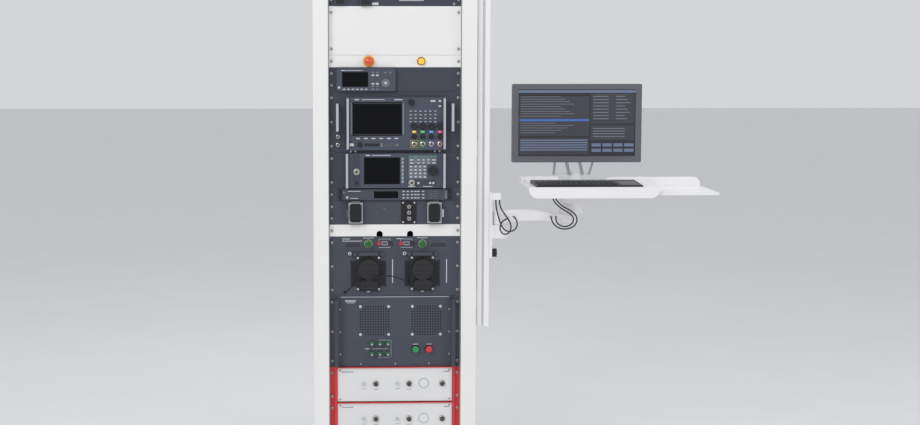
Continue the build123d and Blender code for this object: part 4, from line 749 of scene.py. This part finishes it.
side_sockets = [spot("scope", -209, height) for height in (57, 27)]
for place in side_sockets:
    place.y = PANEL_Y
copies("adapter_sockets", lathe(INPUT_RING, 24), side_sockets, NICKEL, size=0.8)
print("oscilloscope fronted")

# %% [markdown]
# The network analyzer is the instrument the station is built around. It has a screen with seven soft
# keys beside it, a function block, a number block, a tuning knob, and two test ports.
# Its screen is off, so it is one plain dark plate set back in the front.

# %% Network analyzer
SCREEN_LOW, SCREEN_HIGH = (-114.4, 17.0), (18.0, 116.0)
SCREEN_MID = ((SCREEN_LOW[0] + SCREEN_HIGH[0]) / 2, (SCREEN_LOW[1] + SCREEN_HIGH[1]) / 2)
bars("analyzer_glass", "analyzer", [(*SCREEN_MID, 131, 97.5)], GLASS, -0.6, sunk=1.9)
bars("analyzer_title", "analyzer", [(-100, 123, 16, 3.2), (-50, 123, 68, 2)], LIGHT, 0.2)
bars("analyzer_port_strip", "analyzer", [(-141.5, 66, 26, 118)], FILLER, 0.5, 0.2)
PORT = [(4.6, 0), (11.5, 0), (11.5, 1.5), (8.6, 2.2), (8.6, 9), (8, 10), (4.6, 10), (4.6, 0.01)]
ports = [spot("analyzer", -141.5, 63, 0.5), spot("analyzer", 61, 22.5, 0.3)]
copies("analyzer_ports", lathe(PORT, 32), ports, NICKEL)
copies("analyzer_port_pins", lathe([(0, 0), (1.5, 0), (1.5, 7), (0, 8)], 12), ports, GOLD)
bars("analyzer_low_strip", "analyzer", [(98, 21, 108, 26)], FILLER, 0.3, 0.2)
copies("analyzer_low_sockets", lathe([(0, 0), (4.4, 0), (4.4, 2), (3.6, 2.6), (0, 2.2)], 20),
       row_of("analyzer", 21, (85.5, 129, 140.5), 0.3), KEY_LIGHT)
bars("analyzer_labels", "analyzer", [(61, 8.5, 26, 3), (120, 8.5, 36, 2)], LIGHT, 0.4)
FUNCTION_X = (60.7, 85.4, 103.8, 122.9, 142.4)
row_inks = (GREEN, KEY_LIGHT, KEY_LIGHT)
for row, ink in enumerate(row_inks):
    height = 117.8 - 11.4 * row
    bars(f"analyzer_key_tops_{row + 1}", "analyzer",
         [(x, height, 13 if x in (60.7, 142.4) else 8, 4.6) for x in FUNCTION_X], ink,
         3.5, sunk=-3.1)
number_points = [spot("analyzer", x, 44 + 12.6 * row, 3.2) for x in (58.5, 75.1, 92.0, 108.9)
                 for row in range(4)]
copies("analyzer_number_tops", cap(8.6, 6, 0.5, 0.9, 0.1), number_points, KEY_LIGHT)
soft_points = [spot("analyzer", 27.6, 25.5 + 14.2 * row, 3.2) for row in range(7)]
copies("analyzer_soft_tops", cap(5, 5.6, 0.5, 0.9, 0.1), soft_points, KEY_LIGHT)
print("network analyzer fronted with", len(number_points) + len(soft_points), "key tops")

# %% [markdown]
# The low source unit has a dark display and rows of tiny keys. The connector unit under it has two
# heavy multi-pin inserts, black ribbed blocks in bright frames, and a column of three coaxial connectors.

# %% Source unit and connectors
bars("source_display", "source", [(-32.9, 22.3, 88, 26)], GLASS, -0.4, sunk=1.4)
for row in range(3):
    copies(f"source_keys_{row + 1}", cap(9, 4.6, 2, 0.8, 0.15),
           row_of("source", 10 + 12 * row, (31.6, 46.7, 62.5, 75, 86, 103.5)), KEY_LIGHT)
grid_copies("source_small_keys", cap(4.2, 3.4, 1.6, 0.8, 0.1), spot("source", 142, 22), 5, 4,
            (7, 8.5), KEY_GREY)
copies("source_round_key", lathe([(0, 0), (5, 0), (5, 2), (4, 3), (0, 3.2)], 24), [spot("source", -176, 12)],
       KEY_LIGHT)
bars("source_end_blocks", "source", [(188, 22, 10, 30), (-188, 30, 8, 8)], KEY_GREY, 1.0, 0.3)
bars("source_labels", "source", [(-150, 35, 46, 2.4), (-150, 9, 30, 2)], LIGHT, 0.3)
CONNECTOR_MIDDLE = UNIT / MM
INSERT_RIB = cap(2.2, 60, 1.6, 0.9, 0.2)
for side, word in ((-1, "left"), (1, "right")):
    centre = spot("connector", side * 145, CONNECTOR_MIDDLE, 16)
    bars(f"connector_rim_{word}", "connector",
         [(side * 145, CONNECTOR_MIDDLE + 37, 52, 3), (side * 145, CONNECTOR_MIDDLE - 37, 52, 3),
          (side * 145 - 24.5, CONNECTOR_MIDDLE, 3, 71), (side * 145 + 24.5, CONNECTOR_MIDDLE, 3, 71)],
         ALLOY, thickness=22.6, bevel=0.6, sunk=-2)
    bars(f"insert_face_{word}", "connector", [(side * 145, CONNECTOR_MIDDLE, 40, 66)], INSERT,
         thickness=16.1, sunk=-15.9)
    grid_copies(f"insert_ribs_{word}", INSERT_RIB, centre, 8, 1, (4.4, 1), INSERT)
    copies(f"lever_bolt_{word}", lathe([(0, 0), (5, 0), (5, 1.4), (4, 2.2), (0, 2.4)], 24),
           [spot("connector", side * 145 + dx, CONNECTOR_MIDDLE + dz, 22.3) for dx in (-20, 20)
            for dz in (-33, 33)],
           STEEL, size=0.7)
COAX_FACE = [(3.2, 0), (8.3, 0), (8.3, 4), (7.4, 4.6), (7.4, 15), (6.6, 16), (3.2, 16), (3.2, 0.01)]
coax_places = [spot("connector", 52, CONNECTOR_MIDDLE + 22 * step, 3.2) for step in (-1, 0, 1)]
copies("coax_shells", lathe(COAX_FACE, 28), coax_places, NICKEL)
bars("coax_plate", "connector", [(51.2, CONNECTOR_MIDDLE, 56, 82)], BLACK, 3.3, sunk=-3.0)
copies("coax_plate_screws", LOW_DOT, [spot("connector", 51.2 + dx, CONNECTOR_MIDDLE + dz, 3.3)
                                      for dx in (-21, 21) for dz in (-36, 36)], KEY_LIGHT,
                                      size=0.7)
bars("connector_labels", "connector", [(-145, 84.5, 34, 2), (145, 84.5, 34, 2), (-40, 60, 3, 1.5)],
     LIGHT, 0.3)
print("connectors fronted")

# %% [markdown]
# The charging panel repeats one group twice: a green lamp, a latch bar, a charging inlet under a moulded
# rubber cap and two patches of ventilation holes. The holes are small near-black discs of painted shade,
# just proud of the paint, in two grids of which one fills the gaps of the other.

# %% Charging panel
GROUP_X = (-98.0, 102.0)
INLET_HEIGHT = 101.6
LAMP_HEIGHT = 195.5
lamp_places = row_of("charge", LAMP_HEIGHT, GROUP_X)
copies("lamp_bezels", ring_mesh(13.6, 16.4, 5.2), lamp_places, NICKEL)
LENS = [(0, 15.9), (13.4, 15.9)] + [(13.4 * math.cos(turn), 15.9 + 5.2 * math.sin(turn))
                                   for turn in (0.3, 0.6, 0.9, 1.2)] + [(0, 21.2)]
copies("lamp_lenses", lathe(LENS, 32), lamp_places, GREEN_LENS)
copies("lamp_sides", ring_mesh(13.45, 13.75, 15.8), lamp_places, GREEN_LENS)
JACK = [(2.6, 0), (7.6, 0), (7.6, 5), (6.6, 9.2), (2.6, 9.2), (2.6, 0.01)]
red_jacks = row_of("charge", LAMP_HEIGHT + 1, (-59, 22))
black_jacks = row_of("charge", LAMP_HEIGHT + 1, (-17, 64))
copies("red_jacks", lathe(JACK, 28), red_jacks, RED)
copies("black_jacks", lathe(JACK, 28), black_jacks, BLACK)
bars("test_schematic", "charge",
     [(-38, 212, 44, 1.2), (-38, 181, 44, 1.2), (-59, 206, 1.2, 11), (-17, 206, 1.2, 11), (-38, 196, 22, 12),
      (43, 212, 44, 1.2), (43, 181, 44, 1.2), (22, 206, 1.2, 11), (64, 206, 1.2, 11), (43, 196, 22, 12)],
     LIGHT, 0.3)
bars("schematic_inner", "charge", [(-38, 196, 19, 9), (43, 196, 19, 9)], SLATE, 0.45)
bars("charge_labels", "charge",
     [(-180, 213, 29, 2.4), (-158, 205, 74, 2), (20, 213, 29, 2.4), (48, 160, 16, 2.2),
                                 (-8.5, 92, 3, 88), (192, 92, 3, 88), (-98, 216, 40, 2), (102, 216, 40, 2)],
     LIGHT, 0.3)
copies("charge_coax", lathe(INPUT_RING, 28), row_of("charge", 160, (-167, 34.6), 13.9), KEY_LIGHT,
       size=0.72)
HOLE = lathe([(0, 0), (3.3, 0), (3.3, 0.25), (0, 0.3)], 10)
# painted shade: the louvres are near-black squares on the plate, not openings
for x in (-155.5, 161):
    for row, columns in ((0, 8), (1, 7)):
        grid_copies("louvre", cap(4.6, 4.6, 0.35, 1, 0.05), spot("charge", x, 186 + 7.5 * row),
                    columns, 1, (7.4, 1),
                    HOLE_SHADE)
# painted shade: each ventilation hole is a near-black disc on the plate
for x in (-152, -44, 48, 156):
    grid_copies("vent_holes", HOLE, spot("charge", x, 84), 3, 11, (9.2, 9.2), HOLE_SHADE)
    grid_copies("vent_holes_between", HOLE, spot("charge", x, 84), 2, 10, (9.2, 9.2), HOLE_SHADE)
inlet_screws = [spot("charge", x + dx, height, 4) for x in GROUP_X for dx in (-39, 39)
                for height in (143, 26)]
copies("inlet_screws", LOW_DOT, inlet_screws, KEY_LIGHT, size=0.9)
copies("inlet_marks", cap(12, 5, 0.5, 1, 0.2), row_of("charge", 16.5, GROUP_X, 0.1), KEY_LIGHT)
CAP_RIDGES = [(x, height, 2 * math.sqrt(37.5 ** 2 - (height - INLET_HEIGHT) ** 2), 1.6) for x in GROUP_X
              for height in (74, 89, 110, 128)] + [(x, 50, 64, 1.6) for x in GROUP_X]
# painted highlight: the cap ridges are lighter grey than the black cap
bars("cap_ridges", "charge", CAP_RIDGES, CAP_RIDGE_HIGHLIGHT, 27, 0.3, sunk=-26.2)
bars("latch_grips", "charge", [(x + dx, 157, 8, 8) for x in GROUP_X for dx in (-40, 40)], BLACK,
     12.6, 0.6, sunk=-11.8)
print("charging panel fronted with", len(CAP_RIDGES), "ridges on its inlet caps")

# %% [markdown]
# The load panel has two fan grilles punched with rounded square patterns, binding posts in two rows and a
# pair of push buttons. The punched pattern is a grid of near-black discs, painted shade of the holes, whose
# corner cells are left out.

# %% Load panel
FAN_X = (-75.4, 117.4)
FAN_HEIGHT = 174.0
GRID_PITCH = 9.6
SHORT_ROWS = {0: 2, 1: 1, 10: 1, 11: 2}
grille = []
for fan_x in FAN_X:
    for row in range(12):
        skip = SHORT_ROWS.get(row, 0)
        for column in range(skip, 12 - skip):
            grille.append(spot("load", fan_x + (column - 5.5) * GRID_PITCH,
                               FAN_HEIGHT + (row - 5.5) * GRID_PITCH))
# painted shade: each grille hole is a near-black disc on the plate
copies("grille_holes", lathe([(0, -0.05), (2.9, -0.05), (2.9, 0.15), (0, 0.2)], 12), grille,
       HOLE_SHADE)
fan_screws = [spot("load", x + dx, FAN_HEIGHT + dz) for x in FAN_X for dx in (-52.5, 52.5)
              for dz in (-52.5, 52.5)]
copies("grille_screws", LOW_DOT, fan_screws, KEY_LIGHT, size=1.1)
POST_NUT = [(4, 3), (9.6, 3), (9.6, 9), (8.6, 10), (8.6, 14), (7.6, 15), (4, 15.9), (4, 3.01)]
POSTS = [(x, height) for x in (-85.4, -55.4, -25.4) for height in (48, 87)]
posts = [spot("load", x, height) for x, height in POSTS]
copies("post_nuts", lathe(POST_NUT, 28), posts, GREEN)
copies("post_pins", lathe([(0, 15.8), (3.4, 15.8), (3.4, 17), (0, 17.4)], 16), posts, NICKEL)
copies("post_bases", ring_mesh(8.1, 10.6, 2.6), posts, BLACK)
bars("post_brackets", "load",
     [(-40, 100, 44, 1.1), (-40, 35, 44, 1.1), (-14, 67.5, 1.1, 66), (-103, 67.5, 16, 2.4),
      (-55, 67.5, 56, 1.1)],
     LIGHT, 0.3)
bars("load_labels", "load",
     [(0, 262.5, 400, 1.6), (-164, 248, 40, 4), (-164, 241, 30, 2), (77, 84, 20, 2.2), (127, 84, 20, 2.2)],
     LIGHT, 0.3)
copies("button_rings", ring_mesh(9.2, 14.6, 2.4), row_of("load", 67, (77, 127)), BLACK)
low_screws = row_of("load", 10.5, (-126, 2, 127)) + [spot("load", side * 203, height) for side in (-1, 1)
                                                    for height in (47, 131, 216)]
copies("load_screws", LOW_DOT, low_screws, STEEL, size=0.7)
print("load panel has", len(grille), "grille holes")

# %% [markdown]
# The two signal modules are alike: a light plate between red ears with five round connectors. The same
# shapes are placed twice, one module height apart.

# %% Signal modules
FLANGE = [(5.2, 0), (13, 0), (13, 1), (9.6, 1.6), (9.6, 9), (8.8, 10), (5.2, 10), (5.2, 0.01)]
for unit in ("upper_module", "lower_module"):
    copies(f"{unit}_shells", lathe(FLANGE, 28), row_of(unit, 70, (-71, 53, 177), 0.2), NICKEL,
           size=0.98)
    copies(f"{unit}_cores", lathe([(0, 0), (4.6, 0), (4.6, 9.6), (0, 9.9)], 20),
           row_of(unit, 70, (-71, 53, 177), 0.4), RUBBER_BLACK_AND_OPENING_SHADE)
    copies(f"{unit}_small",
           lathe([(1.6, 0), (5.4, 0), (5.4, 9.6), (4.8, 10.3), (1.6, 10.3), (1.6, 0.01)], 20),
           row_of(unit, 70, (-116, 10), 0.2), KEY_LIGHT)
    copies(f"{unit}_dial", ring_mesh(15.5, 20.5, 0.5), row_of(unit, 71, (108,)), KEY_LIGHT)
    bars(f"{unit}_labels", unit,
         [(-176, 114.5, 44, 3), (194, 114.5, 21, 3), (-116, 50, 16, 1.6), (10, 50, 16, 1.6),
                                  (-71, 48, 18, 1.6), (53, 48, 18, 1.6)], DIM, 0.3)
    copies(f"{unit}_screws", LOW_DOT,
           [spot(unit, side * 203, height) for side in (-1, 1) for height in (12, 121)],
           STEEL, size=0.7)
print("signal modules fronted")

# %% [markdown]
# On the power unit only the lowest edge shows in the usual view. It has a row of vents, two dark blocks,
# labels and a switch, all as plates, and one screw at its lower right. The vents are black plates of painted
# shade.

# %% Power unit
# painted shade: the vents are black plates, not openings
bars("power_vents", "power", [(-60 + 14 * step, 100, 5, 44) for step in range(10)], RUBBER_BLACK_AND_OPENING_SHADE,
     0.3)
bars("power_blocks", "power", [(-108.5, 24, 30, 38)], BLACK, 14.5, 0.8, sunk=-13.8)
bars("power_sockets", "power", [(-200, 15.5, 30, 18)], BLACK, 6.4, 0.4, sunk=-5.8)
bars("power_label", "power", [(-72, 8, 24, 9), (60, 20, 90, 2.4)], LIGHT, 0.3)
bars("power_switch", "power", [(150, 66, 22, 30)], RUBBER_BLACK_AND_OPENING_SHADE, 4, 1.0)
copies("power_screw", LOW_DOT, [spot("power", 216, 8)], STEEL)
print("power unit fronted")

# %% [markdown]
# The operator's keyboard has low keys on a sloped case, six rows and a strip of small keys above them,
# with a touch pad on the right. The case is a frame part; the keys are one shape placed by the point tree.

# %% Keyboard
BOARD_LOW, BOARD_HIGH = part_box("keyboard")
SLOPE = math.atan2(0.007, BOARD_HIGH[1] - BOARD_LOW[1])
UPRIGHT = Matrix.Rotation(SLOPE, 4, "X") @ Matrix.Rotation(-math.pi / 2, 4, "X")


def on_keyboard(x, y):
    """A point on the keyboard's sloped top, in millimetres from its left front corner."""
    rise = BOARD_HIGH[2] - 0.007 + y * MM * math.tan(SLOPE)
    return Vector((BOARD_LOW[0] + x * MM, BOARD_LOW[1] + y * MM, rise))


big_key = cap(16.2, 16.2, 2.4, 0.86, 0.4)
big_key.transform(UPRIGHT)
small_key = cap(14, 9, 2.2, 0.9, 0.4)
small_key.transform(UPRIGHT)
long_key = cap(108, 16.2, 2.4, 0.86, 0.4)
long_key.transform(UPRIGHT)
DARK_KEY = finish("dark key plastic", (34, 33, 36), 0.5, grain=1200, depth=0.12)
key_places = [on_keyboard(20 + 19 * column + (4 if row % 2 else 0), 36 + 19 * row)
              for row in range(5) for column in range(15)]
copies("keyboard_keys", big_key, key_places, DARK_KEY, "arm_head")
space_places = [on_keyboard(132, 17)]
copies("keyboard_space_bar", long_key, space_places, DARK_KEY, "arm_head")
low_row = cap(16.2, 16.2, 2.4, 0.86, 0.4)
low_row.transform(UPRIGHT)
copies("keyboard_low_keys", low_row,
       [on_keyboard(20 + 19 * column, 17) for column in (0, 1, 2, 9, 10, 11, 12, 13, 14)],
       DARK_KEY, "arm_head")
copies("keyboard_strip_keys", small_key, [on_keyboard(19 + 17.9 * column, 136) for column in range(16)],
       KEY_GREY, "arm_head")
pad = bmesh.new()
add_box(pad, (-32 * MM, -44 * MM, 0), (32 * MM, 44 * MM, 0.9 * MM), 0.4 * MM)
bmesh.ops.transform(pad, matrix=Matrix.Translation(on_keyboard(344, 78)) @ Matrix.Rotation(SLOPE, 4, "X"),
                    verts=pad.verts)
piece("touch_pad", pad, MONITOR_GREY, "arm_head")
pad_keys = bmesh.new()
for dx in (-17, 17):
    add_box(pad_keys, ((dx - 15) * MM, -7 * MM, 0), ((dx + 15) * MM, 7 * MM, 1.6 * MM), 0.5 * MM)
bmesh.ops.transform(pad_keys, matrix=Matrix.Translation(on_keyboard(344, 22))
                    @ Matrix.Rotation(SLOPE, 4, "X"),
                    verts=pad_keys.verts)
piece("touch_pad_keys", pad_keys, KEY_GREY, "arm_head")
print("keyboard has", len(key_places) + 26, "keys")

# %% [markdown]
# The monitor shows a generic operator's page: a list with one row picked out, a table, two panels and a
# block of buttons in two rows, all as plain bars. The glass sits two millimetres back in its bezel, and
# four small keys and a lamp are on the bezel's lower right.

# %% Monitor
SCREEN_BOX_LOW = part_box("monitor_housing")[0]
BOTTOM["monitor"] = SCREEN_BOX_LOW[2]
FACE["monitor"] = SCREEN_BOX_LOW[1]


def screen_bars(name, rows, material, layer=1):
    """Bars of the picture, given by left edge, height, width and how tall, in millimetres of the glass."""
    shifted = [(465 + left + width / 2, 23 + height, width, tall) for left, height, width, tall in rows]
    bars(name, "monitor", shifted, material, -1.75 + 0.12 * layer, sunk=1.95,
         body="monitor")


screen_bars("monitor_glass", [(0.3, 125, 439.4, 249.4)], SCREEN, 0)
PANEL_LIGHT = glowing("page panel", (56, 56, 64), 0.3, 0.25)
PAGE_GREY = glowing("page grey", (116, 117, 124), 0.35, 0.25)
PAGE_BLUE = glowing("page blue", (64, 92, 160), 0.45, 0.25)
PAGE_TEAL = glowing("page blue grey", (96, 108, 134), 0.3, 0.25)
screen_bars("page_title_bar", [(0.3, 242, 439.4, 10)], PAGE_TEAL)
screen_bars("page_panels",
            [(4, 150, 262, 74 * 2), (272, 178, 164, 112), (272, 88, 164, 56), (4, 38, 262, 62)],
            PANEL_LIGHT)
screen_bars("page_list", [(8, 222 - 9 * row, 150 + 17 * ((row * 5) % 4), 1.5) for row in range(9)]
            + [(8, 124 - 9 * row, 130 + 23 * ((row * 3) % 4), 1.5) for row in range(5)], PAGE_GREY, 2)
screen_bars("page_picked_row", [(4, 135, 262, 8)], PAGE_BLUE, 2)
screen_bars("page_table", [(8, 60 - 9 * row, 252, 5) for row in range(5)], PAGE_TEAL, 2)
screen_bars("page_values", [(280, 224 - 12 * row, 58, 2.4) for row in range(8)]
            + [(366, 224 - 12 * row, 34 + 9 * (row % 3), 2.4) for row in range(8)]
            + [(280, 104 - 10 * row, 120, 2.4) for row in range(4)], PAGE_GREY, 2)
screen_bars("page_buttons", [(276 + 41 * step, 22, 35, 12) for step in range(4)]
            + [(276 + 41 * step, 42, 35, 12) for step in range(4)], PAGE_TEAL, 2)
bars("monitor_keys", "monitor", [(836 + 14 * step, 11, 8, 3) for step in range(4)], KEY_GREY,
     0.6, sunk=0.2, body="monitor")
bars("monitor_lamp", "monitor", [(904, 11, 4, 2)], GREEN_LENS, 0.4, sunk=0.2, body="monitor")
print("monitor page drawn")

# %% [markdown]
# Away from the front, the cabinet is plain sheet metal: the side covers have a row of screws at each edge,
# the rear door has two fields of air slots, and the top has a small vent; slots and vent are black bars of
# painted shade. The mast ends in a black cap.

# %% Sides, back and top
COVER_LOW, COVER_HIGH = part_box("cabinet_covers")
side_heights = [0.14 + step * 0.36 for step in range(6)]
for side, word in ((-1, "left"), (1, "right")):
    dot = lathe([(0, -0.4), (4.2, -0.4), (4.2, -0.04), (0, 0)], 16)
    dot.transform(Matrix.Rotation(side * math.pi / 2, 4, "Z"))
    edge = COVER_LOW[0] if side < 0 else COVER_HIGH[0]
    copies(f"side_screws_{word}", dot, [Vector((edge, y, z)) for y in (-0.372, 0.345) for z in side_heights],
           STEEL)
# painted shade: the door's air slots are thin black bars, not openings
slot_shape = cap(4.5, 60, 0.35, 1, 0.05)
slot_shape.transform(Matrix.Rotation(math.pi, 4, "Z"))
DOOR_FACE = 0.4475
for height, word in ((0.36, "low"), (1.62, "high")):
    grid_copies(f"door_slots_{word}", slot_shape, Vector((0, DOOR_FACE, height)), 28, 3, (14, 78),
                RUBBER_BLACK_AND_OPENING_SHADE,
                "rear_door")
# painted shade: the top vent's slots are thin black bars, not openings
top_slot = cap(4.5, 90, 0.35, 1, 0.05)
top_slot.transform(Matrix.Rotation(-math.pi / 2, 4, "X"))
top_points = [Vector((-0.15 + 0.015 * step, y, COVER_HIGH[2] - 0.00034)) for step in range(21)
              for y in (-0.12, 0.02)]
copies("top_slots", top_slot, top_points, RUBBER_BLACK_AND_OPENING_SHADE)
MAST_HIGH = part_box("mast")[1]
mast_cap = bmesh.new()
add_box(mast_cap, (MAST_HIGH[0] - 0.0455, -0.4350, 1.9001), (MAST_HIGH[0] + 0.0005, -0.3890, 1.9041), 0.0015)
piece("mast_cap", mast_cap, BLACK, CABINET)
carriage_dots = [Vector((0.3601, y, z)) for y in (-0.432, -0.392) for z in (0.935, 1.06)]
dot = lathe([(0, 0), (3.4, 0), (3.4, 2), (2.6, 2.6), (0, 2.7)], 16)
dot.transform(Matrix.Rotation(math.pi / 2, 4, "Z"))
copies("carriage_screws", dot, carriage_dots, STEEL, "arm_carriage")
print("sides, back and top finished")

# %% [markdown]
# The object stands on a plain pale floor that runs on to the horizon. Three large soft lamps give the even
# light of a product picture, and a pale world fills the shadows.

# %% Floor and light
floor_mesh = bpy.data.meshes.new("floor")
floor_mesh.from_pydata([(-40, -40, 0), (40, -40, 0), (40, 40, 0), (-40, 40, 0)], [], [(0, 1, 2, 3)])
floor_mesh.materials.append(finish("pale floor", (226, 227, 229), 0.75, grain=60, depth=0.03, drift=0.01))
floor = bpy.data.objects.new("floor", floor_mesh)
bpy.context.scene.collection.objects.link(floor)
floor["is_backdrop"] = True


def lamp(name, place, target, size, power):
    """A square soft lamp that points at a target."""
    data = bpy.data.lights.new(name, "AREA")
    data.size = size
    data.energy = power
    thing = bpy.data.objects.new(name, data)
    bpy.context.scene.collection.objects.link(thing)
    thing.location = place
    thing.rotation_euler = (Vector(target) - Vector(place)).to_track_quat("-Z", "Y").to_euler()


lamp("key", (-2.6, -4.2, 3.9), (0.3, -0.4, 1.1), 2.6, 94)
lamp("fill", (4.2, -3.6, 2.6), (0.4, -0.4, 1.1), 3.0, 38)
lamp("top", (0.4, 0.8, 4.6), (0.4, 0, 1.0), 3.0, 40)
world = bpy.data.worlds.new("pale world")
world.use_nodes = True
world.node_tree.nodes["Background"].inputs["Color"].default_value = (0.93, 0.94, 0.96, 1)
world.node_tree.nodes["Background"].inputs["Strength"].default_value = 0.71
bpy.context.scene.world = world
print("stage lit")

# %% Finish
looks_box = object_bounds()
growth = max(abs(a - b) for c, d in zip(cad_box, looks_box) for a, b in zip(c, d))
print("looks box", [tuple(round(v, 3) for v in corner) for corner in looks_box], "differs by",
      round(growth * 1000, 2), "mm")
